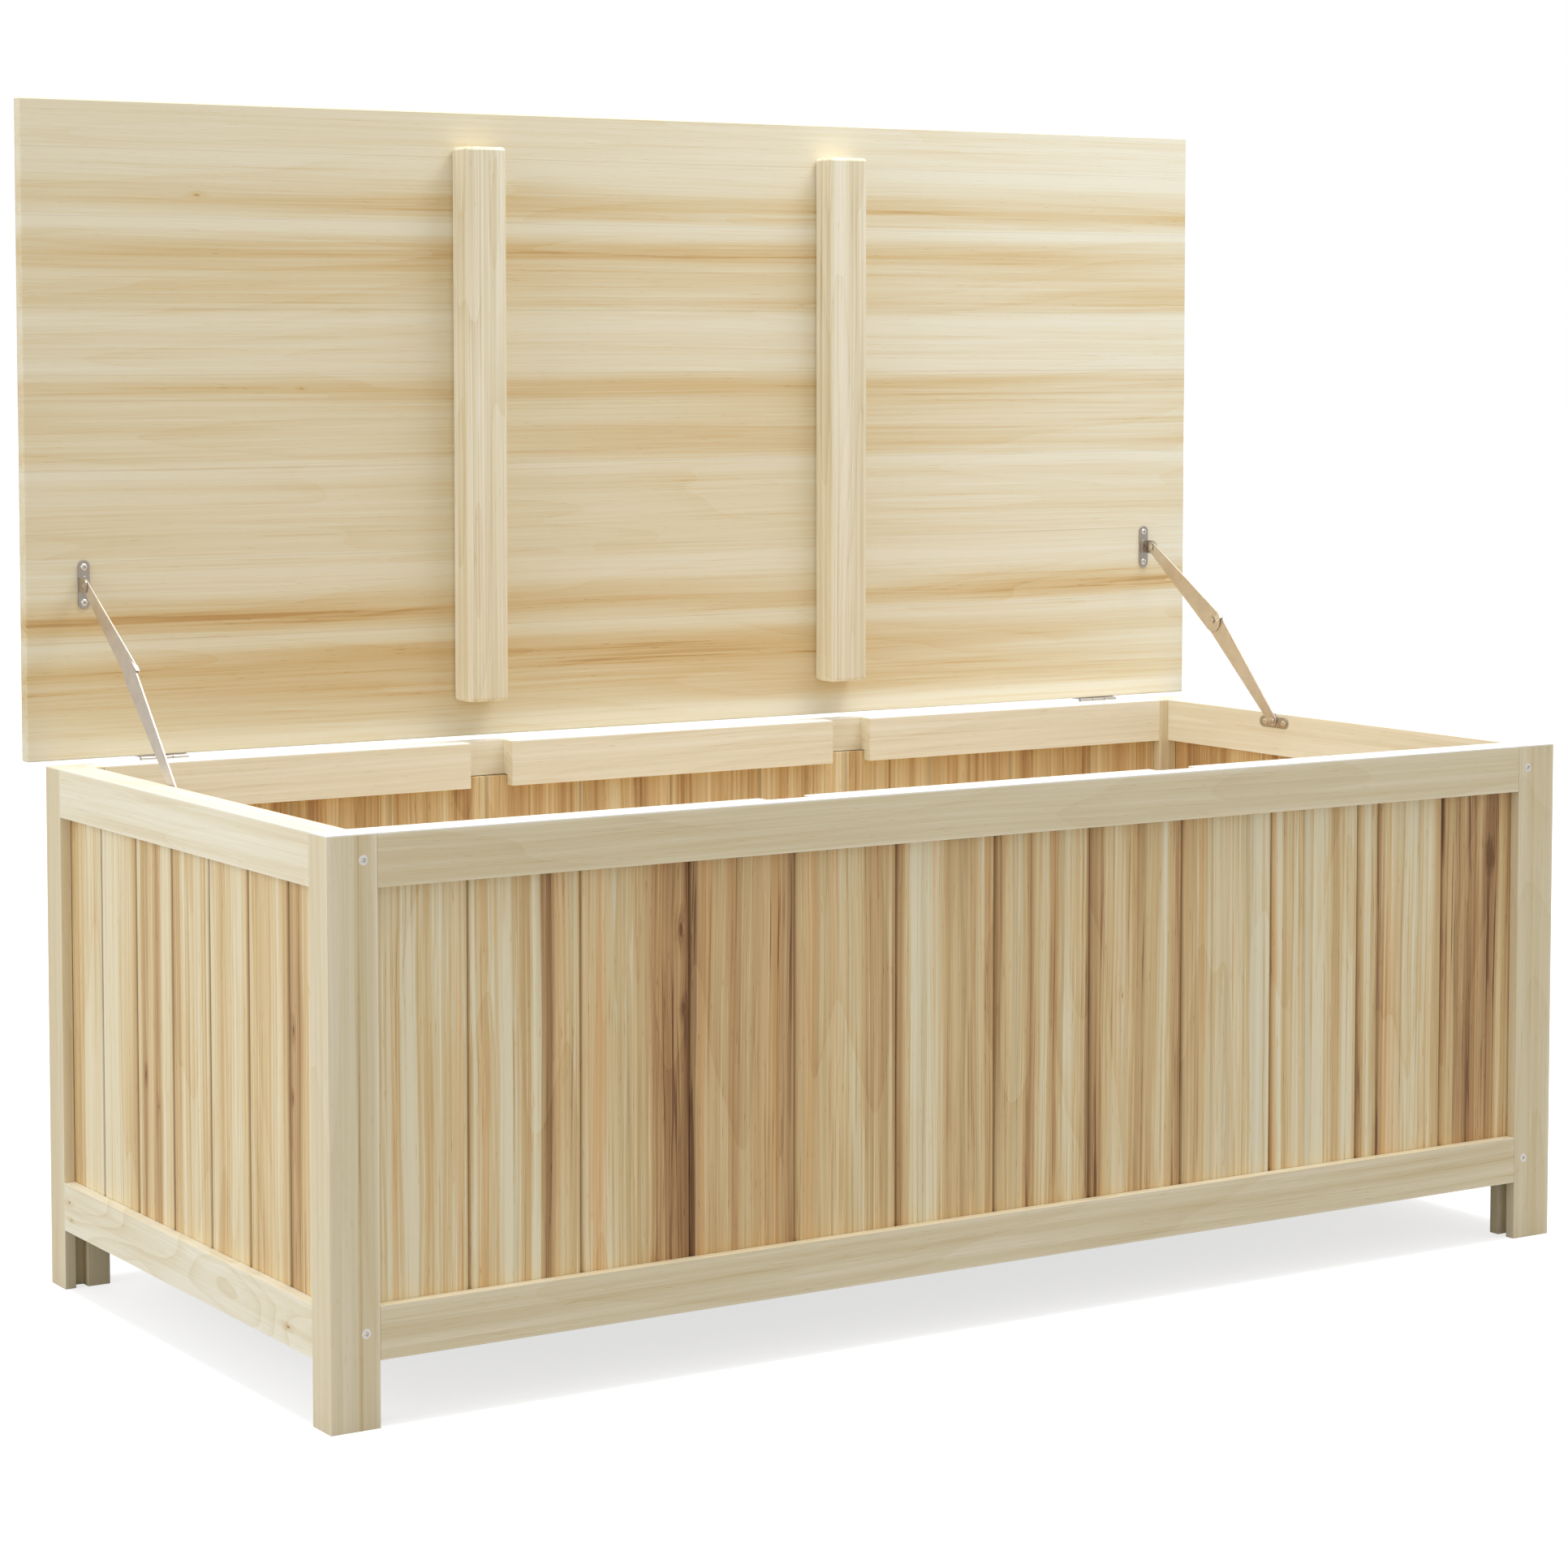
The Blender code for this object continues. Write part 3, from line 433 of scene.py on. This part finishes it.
def metal(name, colour, rough=0.3, drawn_along="Z", tint=0.06):
    """Plated steel: fine drawn scratches along one axis, faint clouding, small dull spots."""
    m = Mat(name)
    where = m.node("ShaderNodeTexCoord").outputs["Object"]
    parts = m.node("ShaderNodeSeparateXYZ")
    m.put(parts.inputs[0], where)
    sizes = [60.0 if a == drawn_along else 2600.0 for a in AXES]
    drawn = m.noise(m.xyz(*[m.mul(parts.outputs[i], s) for i, s in enumerate(sizes)]), 2.0, 0.6)
    cloud = m.noise(where, 3.0, 0.55, scale=90.0)
    spots = m.span(m.noise(where, 2.0, 0.5, scale=700.0), 0.62, 0.75)
    light = tuple(min(255, c * 1.04) for c in colour)
    dark = tuple(c * (1 - tint) for c in colour)
    tone = m.add(m.mul(drawn, 0.45), m.mul(cloud, 0.55), m.mul(spots, -0.15))
    m.out("Base Color", m.ramp(tone, [(0.25, lin(dark)), (0.55, lin(colour)), (0.8, lin(light))]))
    m.out("Roughness", m.add(m.mul(drawn, 0.10), m.mul(cloud, 0.10), m.mul(spots, 0.10), rough - 0.09))
    m.shader.inputs["Metallic"].default_value = 1.0
    m.bump(m.add(m.mul(drawn, 0.7), m.mul(spots, 0.3)), 0.18, 0.00004)
    return m.mat


# ------------------------------------------------------------------ the timber
def box_mm(x):
    """Millimetres from the box's left end, in the frame."""
    return X0 + x / 1000


def deep_mm(y):
    """Millimetres behind the box's front, in the frame."""
    return FRONT_Y + y / 1000


# Tone of the boards across the front, as (mm from the left end, tone): pale sapwood
# strips, tan heartwood, and brown heart streaks in the third and the last board.
FRONT_STRIPES = [
    (37, .30), (43, .24), (50, .10), (58, .18), (66, .08), (72, .22), (77, .38), (81, .30), (85, .12), (92, .24), (99, .14), (109, .30),
    (111, .20), (114, .10), (121, .34), (132, .20), (143, .07), (151, .30), (157, .32), (160, .04), (164, .04), (168, .42), (173, .72), (178, .22), (190, .20), (197, .26),
    (199, .24), (204, .12), (212, .22), (224, .16), (235, .28), (248, .34), (253, .46), (258, .62), (263, .48), (268, .70), (274, .42), (281, .58), (285, .66),
    (287, .64), (292, .44), (299, .24), (316, .34), (323, .54), (329, .36), (336, .30), (341, .52), (350, .34), (362, .50), (370, .72), (373, .60),
    (375, .56), (381, .36), (394, .34), (401, .28), (408, .16), (418, .20), (425, .08), (434, .30), (448, .38), (457, .34), (461, .62),
    (463, .60), (468, .40), (474, .18), (479, .04), (486, .00), (497, .08), (502, .16), (508, .44), (514, .26), (524, .30), (532, .34), (539, .16), (545, .40), (549, .44),
    (551, .40), (557, .26), (570, .12), (576, .28), (581, .48), (587, .26), (594, .12), (605, .36), (611, .28), (617, .02), (623, .22), (630, .20), (634, .56), (637, .66),
    (639, .68), (645, .66), (652, .34), (665, .18), (675, .34), (683, .70), (690, .38), (702, .20), (708, .08), (718, .34), (724, .48),
    (726, .50), (731, .30), (742, .30), (752, .14), (768, .06), (778, .12), (788, .14), (797, .00), (806, .00), (812, .04),
    (814, .34), (818, .10), (822, .00), (827, .40), (833, .10), (845, .16), (852, .03), (864, .04), (870, .20), (876, .36), (888, .10), (894, .02), (899, .24),
    (903, .54), (907, .36), (911, .00), (917, .18), (923, .74), (929, .20), (942, .14), (954, .08), (966, .14), (978, .16), (988, .38),
    (990, .48), (995, .34), (1001, .40), (1007, .60), (1013, .52), (1019, .74), (1025, .54), (1031, .46), (1037, .64), (1044, .70), (1050, .32), (1056, .52), (1063, .60),
]
SIDE_STRIPES = [
    (14, .20), (36, .08), (46, .14), (54, .18), (61, .44), (66, .62), (69, .46), (75, .56), (78, .70), (80, .50), (84, .44), (89, .42), (97, .12), (110, .30), (124, .22), (133, .46),
    (142, .26), (147, .40), (151, .26), (160, .08), (168, .04), (180, .18), (190, .24), (196, .30), (205, .00), (212, .10), (217, .24), (223, .34), (232, .12),
    (241, .10), (250, .24), (259, .02), (268, .30), (279, .34), (286, .22), (295, .00), (304, .40), (309, .60), (314, .34), (322, .18), (331, .56), (335, .40), (340, .18), (348, .34),
    (358, .22), (367, .14), (376, .06), (385, .00), (394, .08), (403, .00), (412, .04), (421, .14), (430, .12), (439, .00), (448, .16), (457, .34), (486, .44),
]
LID_STRIPES = [
    (404, .20), (414, .04), (420, .12), (428, .46), (440, .50), (452, .58), (463, .66), (470, .92), (477, .76), (484, .52), (490, .12), (497, .08),
    (500, .30), (506, .62), (513, .82), (519, .60), (528, .44), (534, .14), (545, .02), (556, .20), (561, .24),
    (566, .30), (585, .32), (605, .28), (616, .36), (624, .08), (629, .06), (634, .30), (641, .62), (648, .42), (660, .54), (672, .40), (682, .36),
    (688, .56), (696, .64), (702, .40), (708, .10), (716, .20), (726, .28), (737, .24), (744, .00), (752, .06), (757, .30),
    (763, .52), (774, .50), (786, .56), (795, .62), (801, .82), (808, .74), (815, .42), (821, .14), (827, .00), (831, .30), (836, .56), (842, .78), (850, .50),
    (857, .34), (864, .14), (871, .00), (878, .00), (884, .12), (898, .10), (920, .08),
]
front_profile = [(box_mm(x), t) for x, t in FRONT_STRIPES]
side_profile = [(deep_mm(y), t) for y, t in SIDE_STRIPES]
lid_profile = [(z / 1000, t) for z, t in LID_STRIPES]
FRONT_JOINTS = [box_mm(22 + 88 * n) for n in range(1, 12)]
SIDE_JOINTS = [deep_mm(81 + 66.5 * n) for n in range(6)]
LID_GLUE = [z / 1000 for z in (497.9, 560.6, 630.9, 684.8, 704.9, 756.9, 827.8, 880.5)]


def soften(obj, bevel, segments=3, merge=0.00001):
    """Rounds a CAD solid's sharp edges. The solid arrives as loose triangles, so it is
    joined up and its flat faces made whole first."""
    mesh = obj.data
    if "custom_normal" in mesh.attributes:
        mesh.attributes.remove(mesh.attributes["custom_normal"])
    for p in mesh.polygons:
        p.use_smooth = True
    weld = obj.modifiers.new("join", "WELD")
    weld.merge_threshold = merge
    flat = obj.modifiers.new("flats", "DECIMATE")
    flat.decimate_type = "DISSOLVE"
    flat.angle_limit = math.radians(1.0)
    if bevel:
        rounded = obj.modifiers.new("rounded", "BEVEL")
        rounded.width = bevel
        rounded.segments = segments
        rounded.limit_method = "ANGLE"
        rounded.angle_limit = math.radians(30)
        rounded.harden_normals = True
        rounded.use_clamp_overlap = True


def paint(node, mat):
    for s in NODES[node].material_slots:
        s.material = mat


def timber(node, grain, width, seed, tones, bevel=0.0006, **more):
    paint(node, wood("wood_" + node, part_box(node), grain, width, seed, tones, **more))
    soften(NODES[node], bevel)


# the front left post is pale at both sides and has a dark grain line
timber("post_front_left", "Z", "X", 1.3, FRAME_TONES, rim=0.85, warp=0.0012, band=0.20, line=0.16, streak=0.16,
       profile=[(box_mm(-3), .22), (box_mm(8), .18), (box_mm(15), .26), (box_mm(20.5), .34), (box_mm(22), .66), (box_mm(23), .40),
                (box_mm(26), .46), (box_mm(33), .36), (box_mm(35.5), .10), (box_mm(40), .04)])
timber("post_front_right", "Z", "X", 2.9, FRAME_TONES, rim=0.85, base=0.30, warp=0.002, band=0.22)
timber("post_rear_left", "Z", "Y", 4.1, FRAME_TONES, rim=0.3, base=0.30, warp=0.002, band=0.22)
timber("post_rear_right", "Z", "Y", 5.7, FRAME_TONES, rim=0.3, base=0.30, warp=0.002, band=0.22)
for i, (rail, level, tones) in enumerate((("front_top_rail", .30, FRAME_TONES), ("front_bottom_rail", .30, FRAME_TONES), ("rear_top_rail", .18, PALE_TONES), ("rear_bottom_rail", .34, FRAME_TONES))):
    timber(rail, "X", "Z", 7.3 + 1.9 * i, tones, base=level, warp=0.0045, band=0.30, streak=0.26, band_size=0.012, rim={"front_top_rail": 0.85, "rear_top_rail": 0.7}.get(rail, 0.0))
timber("left_top_rail", "Y", "Z", 15.1, PALE_TONES, rim=0.12, base=0.24, warp=0.003, band=0.20)
timber("left_bottom_rail", "Y", "Z", 16.9, PALE_TONES, base=0.26, warp=0.006, band=0.30, arch=1.0, streak=0.12, contour=(0.20, 3.6, 12.0, 15.0),
       knots=((deep_mm(462), 0.070, 0.0016, 0.55), (deep_mm(458), 0.057, 0.0012, 0.45), (deep_mm(66), 0.060, 0.0018, 0.55)))
timber("right_top_rail", "Y", "Z", 18.3, PALE_TONES, rim=0.12, base=0.06, warp=0.004, band=0.26, band_size=0.014)
timber("right_bottom_rail", "Y", "Z", 19.7, FRAME_TONES, base=0.32, warp=0.005, band=0.34, arch=0.7)
timber("floor_cleat_front", "X", "Z", 21.1, FRAME_TONES, base=0.5)
timber("floor_cleat_rear", "X", "Z", 22.3, FRAME_TONES, base=0.5)
timber("floor_panel", "X", "Y", 23.9, FLOOR_TONES, base=0.35, warp=0.012, band=0.5, band_size=0.05, line=0.24, arch=0.4, edge=0.0, bevel=0.0004)

BOARD_KNOTS = {3: ((0.318, box_mm(279), 0.0026, 0.5), (0.262, box_mm(281), 0.0016, 0.5)), 12: ((0.316, box_mm(1041), 0.0024, 0.5),),
               8: ((0.235, box_mm(668), 0.0012, 0.3),)}
for n in range(1, 13):
    node = f"front_board_{n:02d}"
    low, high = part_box(node)
    mine = [s for s in front_profile if low.x - 0.010 <= s[0] <= high.x + 0.010]
    timber(node, "Z", "X", 30 + 1.37 * n, BOARD_TONES, bevel=0.0003, edge_dirt=True, edge=0.0, warp=0.0028, band=0.06, line=0.26,
           streak=0.30, fade=0.42, profile=mine, pink=0.25, tone_scale=1.04, line_size=0.0026, crisp=0.24, heart=0.72, hue=0.40, knots=BOARD_KNOTS.get(n, ()))
timber("left_panel", "Z", "Y", 51.3, BOARD_TONES, bevel=0.0003, edge=0.0, warp=0.0028, band=0.06, line=0.26, streak=0.30, fade=0.42,
       profile=side_profile, pink=0.0, tone_scale=0.93, line_size=0.0026, crisp=0.20, heart=0.35, hue=0.12, joint_dirt=0.65, joints=SIDE_JOINTS, knots=((0.262, deep_mm(74), 0.0018, 0.55), (0.215, deep_mm(76), 0.0012, 0.5), (0.19, deep_mm(331), 0.0016, 0.5), (0.17, deep_mm(308), 0.0013, 0.45)))
timber("right_panel", "Z", "Y", 53.9, BOARD_TONES, bevel=0.0003, edge=0.0, warp=0.0028, base=0.42, band=0.46, line=0.26, streak=0.30,
       pink=0.35, line_size=0.0026, crisp=0.20, heart=0.35, fade=0.4, joints=SIDE_JOINTS)
timber("rear_panel", "Z", "X", 57.1, BOARD_TONES, bevel=0.0003, edge=0.0, warp=0.0028, base=0.34, band=0.50, line=0.26, streak=0.30,
       pink=0.25, line_size=0.0026, crisp=0.20, heart=0.35, fade=0.4, joints=FRONT_JOINTS)
# painted shade on the lid: darker and yellower towards its left end
# painted shade on the lid: its outer face is darkened
timber("lid_panel", "X", "Z", 61.7, LID_TONES, bevel=0.0006, warp=0.0020, band=0.10, line=0.20, streak=0.30, profile=lid_profile, glued=LID_GLUE,
       line_size=0.0026, gloss=0.03, fade=0.45, tone_scale=0.88, figure=0.04, crisp=0.20, contour=(0.12, 1.0, 13.0, 12.0),
       shade=("X", -0.30, 0.60, (0.875, 0.84, 0.77)), outer=(0.71, 0.67, 0.60), knots=((-0.418, 0.8455, 0.0016, 0.5), (-0.33, 0.6935, 0.0010, 0.35)))
for side, seed in (("left", 71.3), ("right", 73.7)):
    timber("lid_batten_" + side, "Z", "X", seed, BATTEN_TONES, bevel=0.0010, base=0.20, warp=0.0010, band=0.20, line=0.46, streak=0.40, line_size=0.0022, crisp=0.28, contour=(0.16, 2.2, 26.0, 9.0))

# ------------------------------------------------------------------ the hardware
PLATE = metal("bracket_plate", (196, 186, 174), rough=0.27, drawn_along="Z")
ARM = metal("stay_arm", (228, 217, 205), rough=0.42, drawn_along="Y")
HINGE = metal("hinge_plate", (214, 208, 202), rough=0.30, drawn_along="X")
BRIGHT = metal("bright_screw", (246, 240, 232), rough=0.34, drawn_along="X", tint=0.04)
RIVET = metal("rivet", (226, 216, 200), rough=0.26, drawn_along="X", tint=0.05)


def as_object(bm, name, mat, body, transform=None, sharp=38):
    if transform is not None:
        bm.transform(transform)
    bmesh.ops.recalc_face_normals(bm, faces=bm.faces)
    mesh = bpy.data.meshes.new(name)
    bm.to_mesh(mesh)
    bm.free()
    mesh.materials.append(mat)
    for p in mesh.polygons:
        p.use_smooth = True
    mesh.set_sharp_from_angle(angle=math.radians(sharp))
    obj = bpy.data.objects.new(name, mesh)
    scene.collection.objects.link(obj)
    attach(obj, body)
    return obj


def lathe(profile, steps=40):
    """A solid turned about Z from (radius, height) points, from axis to axis."""
    bm = bmesh.new()
    rings = []
    for r, z in profile:
        if r < 1e-9:
            rings.append([bm.verts.new((0, 0, z))])
        else:
            rings.append([bm.verts.new((r * math.cos(a), r * math.sin(a), z)) for a in (2 * math.pi * k / steps for k in range(steps))])
    for a, b in zip(rings, rings[1:]):
        for k in range(steps):
            j = (k + 1) % steps
            if len(a) == 1:
                bm.faces.new((a[0], b[k], b[j]))
            elif len(b) == 1:
                bm.faces.new((a[k], a[j], b[0]))
            else:
                bm.faces.new((a[k], a[j], b[j], b[k]))
    bmesh.ops.recalc_face_normals(bm, faces=bm.faces)
    return bm


def slab(outline, low, high, round_top=0.0, segments=3, round_bottom=0.0):
    """The outline in XY, from low to high, its upper edge rounded."""
    bm = bmesh.new()
    face = bm.faces.new([bm.verts.new((x, y, low)) for x, y in outline])
    made = bmesh.ops.extrude_face_region(bm, geom=[face])
    lifted = [v for v in made["geom"] if isinstance(v, bmesh.types.BMVert)]
    bmesh.ops.translate(bm, vec=(0, 0, high - low), verts=lifted)
    for level, size in ((high, round_top), (low, round_bottom)):
        if size:
            rim = [e for e in bm.edges if all(abs(v.co.z - level) < 1e-9 for v in e.verts)]
            bmesh.ops.bevel(bm, geom=rim, offset=size, segments=segments, profile=0.5, affect="EDGES", clamp_overlap=True)
    bmesh.ops.recalc_face_normals(bm, faces=bm.faces)
    return bm


def stadium(length, width, steps=12, at=(0.0, 0.0)):
    r = width / 2
    c = length / 2 - r
    points = []
    for s in (1, -1):
        for k in range(steps + 1):
            a = -math.pi / 2 + math.pi * k / steps
            points.append((at[0] + s * (c + r * math.cos(a)), at[1] + s * r * math.sin(a)))
    return points


def cut(bm, *tools):
    """bm with the tools taken out of it."""
    body = bpy.data.objects.new("cut_body", bpy.data.meshes.new("cut_body"))
    bm.to_mesh(body.data)
    bm.free()
    scene.collection.objects.link(body)
    helpers = []
    for tool in tools:
        bmesh.ops.recalc_face_normals(tool, faces=tool.faces)
        helper = bpy.data.objects.new("cut_tool", bpy.data.meshes.new("cut_tool"))
        tool.to_mesh(helper.data)
        tool.free()
        scene.collection.objects.link(helper)
        helpers.append(helper)
        boolean = body.modifiers.new("cut", "BOOLEAN")
        boolean.operation = "DIFFERENCE"
        boolean.solver = "EXACT"
        boolean.object = helper
    bpy.context.view_layer.update()
    done = bmesh.new()
    done.from_mesh(body.evaluated_get(bpy.context.evaluated_depsgraph_get()).to_mesh())
    for o in [body, *helpers]:
        data = o.data
        bpy.data.objects.remove(o, do_unlink=True)
        bpy.data.meshes.remove(data)
    return done


def wedge(length, width, top, bottom, narrow=0.45, turn=0.0):
    """A bar across the axis that narrows downwards: one stroke of a cross recess."""
    bm = bmesh.new()
    rows = []
    for z, k in ((top, 1.0), (bottom, narrow)):
        a, b = length / 2 * k, width / 2 * (0.5 + 0.5 * k)
        rows.append([bm.verts.new((x, y, z)) for x, y in ((-a, -b), (a, -b), (a, b), (-a, b))])
    bm.faces.new(rows[0])
    bm.faces.new(rows[1])
    for k in range(4):
        j = (k + 1) % 4
        bm.faces.new((rows[0][k], rows[0][j], rows[1][j], rows[1][k]))
    bm.transform(Matrix.Rotation(turn, 4, "Z"))
    return bm


def crosshead(radius, dome, skirt, turn=0.3, bite=0.55):
    """A screw's head with its cross recess, its axis along Z and its rim at z = 0."""
    profile = [(0, -skirt), (radius * 0.86, -skirt), (radius * 0.98, -skirt * 0.25), (radius, 0.0), (radius * 0.97, dome * 0.28),
               (radius * 0.88, dome * 0.56), (radius * 0.70, dome * 0.80), (radius * 0.45, dome * 0.94), (radius * 0.2, dome * 0.99), (0, dome)]
    head = lathe(profile)
    reach, wide = radius * 1.20, radius * 0.30
    deep = dome - radius * bite
    return cut(head, wedge(reach, wide, dome + 0.001, deep, turn=turn), wedge(reach, wide, dome + 0.001, deep, turn=turn + math.pi / 2))


def facing(direction, at):
    """Takes +Z to the direction, and the origin to the place."""
    return Matrix.Translation(at) @ Vector(direction).normalized().to_track_quat("Z", "Y").to_matrix().to_4x4()


# frame screws: crossheads sunk in the posts
for node, turn in (("frame_screw_top_left", 0.55), ("frame_screw_bottom_left", 0.15), ("frame_screw_top_right", 0.9), ("frame_screw_bottom_right", 0.35)):
    low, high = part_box(node)
    centre = (low + high) / 2
    radius = (high.x - low.x) / 2
    head = crosshead(radius + 0.0008, 0.0007, 0.0012, turn, bite=0.33)
    made = as_object(head, node + "_head", BRIGHT, "box", facing((0, -1, 0), (centre.x, low.y + 0.0005, centre.z)))
    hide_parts(node)

# stays
for side, s in (("left", -1), ("right", 1)):
    stay = "stay_" + side
    for part, mat, body in (("lower_arm", ARM, side + "_lower_arm"), ("upper_arm", ARM, side + "_upper_arm"), ("rail_bracket", PLATE, "box"), ("lid_bracket", PLATE, "lid")):
        paint(f"{stay}_{part}", mat)
        soften(NODES[f"{stay}_{part}"], 0.00022, 2)

    # rivets: a shank and two domed heads
    for part, body in (("foot", "box"), ("elbow", side + "_upper_arm"), ("lid", "lid")):
        node = f"{stay}_{part}_rivet"
        low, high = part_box(node)
        centre = (low + high) / 2
        r = (high.z - low.z) / 2
        half = (high.x - low.x) / 2
        profile = [(0, -half), (r * 0.5, -half + 0.00005), (r * 0.82, -half + 0.0002), (r, -half + 0.0005), (r, -half + 0.0006), (r * 0.55, -half + 0.0006),
                   (r * 0.55, half - 0.0006), (r, half - 0.0006), (r, half - 0.0005), (r * 0.82, half - 0.0002), (r * 0.5, half - 0.00005), (0, half)]
        made = as_object(lathe(profile), node + "_turned", RIVET, NODES[node]["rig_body"], facing((1, 0, 0), centre), sharp=50)
        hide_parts(node)

    # lid bracket: raised middle and two screws
    low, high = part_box(stay + "_lid_bracket")
    plate_x = s * 0.5160
    plate_y = high.y - 0.0010
    mid_z = (low.z + high.z) / 2
    up = facing((0, -1, 0), (plate_x, plate_y, mid_z))
    boss = slab(stadium(0.0135, 0.0052), -0.0002, 0.0005, 0.0004, 4)
    boss.transform(Matrix.Rotation(math.pi / 2, 4, "Z"))
    pit = lathe([(0, 0.00015), (0.0009, 0.00018), (0.0015, 0.0004), (0.0017, 0.002), (0, 0.002)], 24)
    pit.transform(Matrix.Translation((0.0, -0.0022, 0)))
    as_object(cut(boss, pit), stay + "_lid_bracket_boss", PLATE, "lid", up)
    for k, (dz, turn) in enumerate(((-0.0138, 0.2), (0.0138, 0.9))):
        as_object(crosshead(0.0026, 0.0007, 0.0004, turn), f"{stay}_lid_bracket_screw_{k + 1}", BRIGHT, "lid",
                  facing((0, -1, 0), (plate_x, plate_y - 0.0003, mid_z + dz)))

    # rail bracket: two sunk screws
    low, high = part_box(stay + "_rail_bracket")
    face = min(abs(low.x), abs(high.x))
    mid_y, mid_z2 = (low.y + high.y) / 2, (low.z + high.z) / 2
    for k, (dy, turn) in enumerate(((-0.0130, 0.3), (0.0120, 0.8))):
        as_object(crosshead(0.0027, 0.00022, 0.0005, turn), f"{stay}_rail_bracket_screw_{k + 1}", BRIGHT, "box",
                  facing((-s, 0, 0), (s * face, mid_y + dy, mid_z2)))

    # stop tab: folded from the upper arm over its elbow end, resting on the lower arm's edge
    arm_low, arm_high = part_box(stay + "_upper_arm")
    inner = min(abs(arm_low.x), abs(arm_high.x))
    outer = max(abs(arm_low.x), abs(arm_high.x))
    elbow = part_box(stay + "_elbow_rivet")
    pivot = ((elbow[0].y + elbow[1].y) / 2, (elbow[0].z + elbow[1].z) / 2)
    out_dir = Vector((math.cos(math.radians(137.8)), math.sin(math.radians(137.8))))
    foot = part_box(stay + "_foot_rivet")
    foot = ((foot[0].y + foot[1].y) / 2, (foot[0].z + foot[1].z) / 2)
    along = Vector((foot[0] - pivot[0], foot[1] - pivot[1])).normalized()

    def tab_point(u, v, depth, s=s, pivot=pivot, out_dir=out_dir, along=along):
        return Vector((s * depth, pivot[0] + u * out_dir.x + v * along.x, pivot[1] + u * out_dir.y + v * along.y))

    # the strip's section in (outwards, depth), folded through a right angle
    thick = 0.0009
    path = [(0.0046, inner - thick / 2), (0.0101, inner - thick / 2), (0.0108, inner - thick * 0.40), (0.01125, inner - thick * 0.05), (0.01140, inner + 0.0005), (0.01140, outer + 0.0015)]
    bm = bmesh.new()
    rows = []
    for i, (u, d) in enumerate(path):
        before = Vector(path[max(i - 1, 0)])
        after = Vector(path[min(i + 1, len(path) - 1)])
        run = (after - before).normalized()
        nrm = Vector((-run.y, run.x)) * thick / 2
        rows.append([[bm.verts.new(tab_point(u + sgn * nrm.x, v, d + sgn * nrm.y)) for v in (0.0008, 0.0066)] for sgn in (1, -1)])
    for a, b in zip(rows, rows[1:]):
        bm.faces.new((a[0][0], a[0][1], b[0][1], b[0][0]))
        bm.faces.new((a[1][1], a[1][0], b[1][0], b[1][1]))
        bm.faces.new((a[0][0], b[0][0], b[1][0], a[1][0]))
        bm.faces.new((a[0][1], a[1][1], b[1][1], b[0][1]))
    for end in (rows[0], rows[-1]):
        bm.faces.new((end[0][0], end[1][0], end[1][1], end[0][1]))
    bmesh.ops.recalc_face_normals(bm, faces=bm.faces)
    sharp = [e for e in bm.edges if len(e.link_faces) == 2 and e.calc_face_angle(0) > math.radians(60)]
    bmesh.ops.bevel(bm, geom=sharp, offset=0.00018, segments=2, profile=0.5, affect="EDGES", clamp_overlap=True)
    as_object(bm, stay + "_stop_tab", BRIGHT, side + "_upper_arm")
    dimple = lathe([(0, -0.0002), (0.0011, -0.0002), (0.0010, 0.0001), (0.0007, 0.0003), (0.0004, 0.00038), (0, 0.0004)], 24)
    as_object(dimple, stay + "_dimple", ARM, side + "_upper_arm", facing((-s, 0, 0), tab_point(0.0020, -0.0058, inner)))

# hinges
for side in ("left", "right"):
    for part, body in (("box_leaf", "box"), ("lid_leaf", "lid"), ("pin", "box")):
        node = f"hinge_{side}_{part}"
        paint(node, HINGE)
        soften(NODES[node], 0.00018, 2)
    low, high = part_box(f"hinge_{side}_box_leaf")
    for k, f in enumerate((0.14, 0.5, 0.86)):
        x = low.x + (high.x - low.x) * f
        as_object(crosshead(0.0023, 0.0005, 0.0003, 0.4 + k), f"hinge_{side}_box_screw_{k + 1}", BRIGHT, "box",
                  facing((0, 1, 0), (x, 0.2438, 0.3966)))
    low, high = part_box(f"hinge_{side}_lid_leaf")
    for k, f in enumerate((0.14, 0.5, 0.86)):
        x = low.x + (high.x - low.x) * f
        as_object(crosshead(0.0023, 0.0005, 0.0003, 0.9 + k), f"hinge_{side}_lid_screw_{k + 1}", BRIGHT, "lid",
                  facing((0, 0, -1), (x, 0.2528, 0.4057)))

# ------------------------------------------------------------------ floor
bm = bmesh.new()
bmesh.ops.create_circle(bm, cap_ends=True, segments=96, radius=40.0)
ground = bpy.data.meshes.new("studio_floor")
bm.to_mesh(ground)
bm.free()
floor = bpy.data.objects.new("studio_floor", ground)
scene.collection.objects.link(floor)
m = Mat("studio_floor")
m.shader.inputs["Base Color"].default_value = (0.42, 0.42, 0.42, 1)
m.shader.inputs["Roughness"].default_value = 0.9
m.shader.inputs["Specular IOR Level"].default_value = 0.1
m.shader.inputs["Emission Color"].default_value = (1, 1, 1, 1)
m.out("Emission Strength", m.mul(m.node("ShaderNodeLightPath").outputs["Is Camera Ray"], FLOOR_GLOW))
ground.materials.append(m.mat)
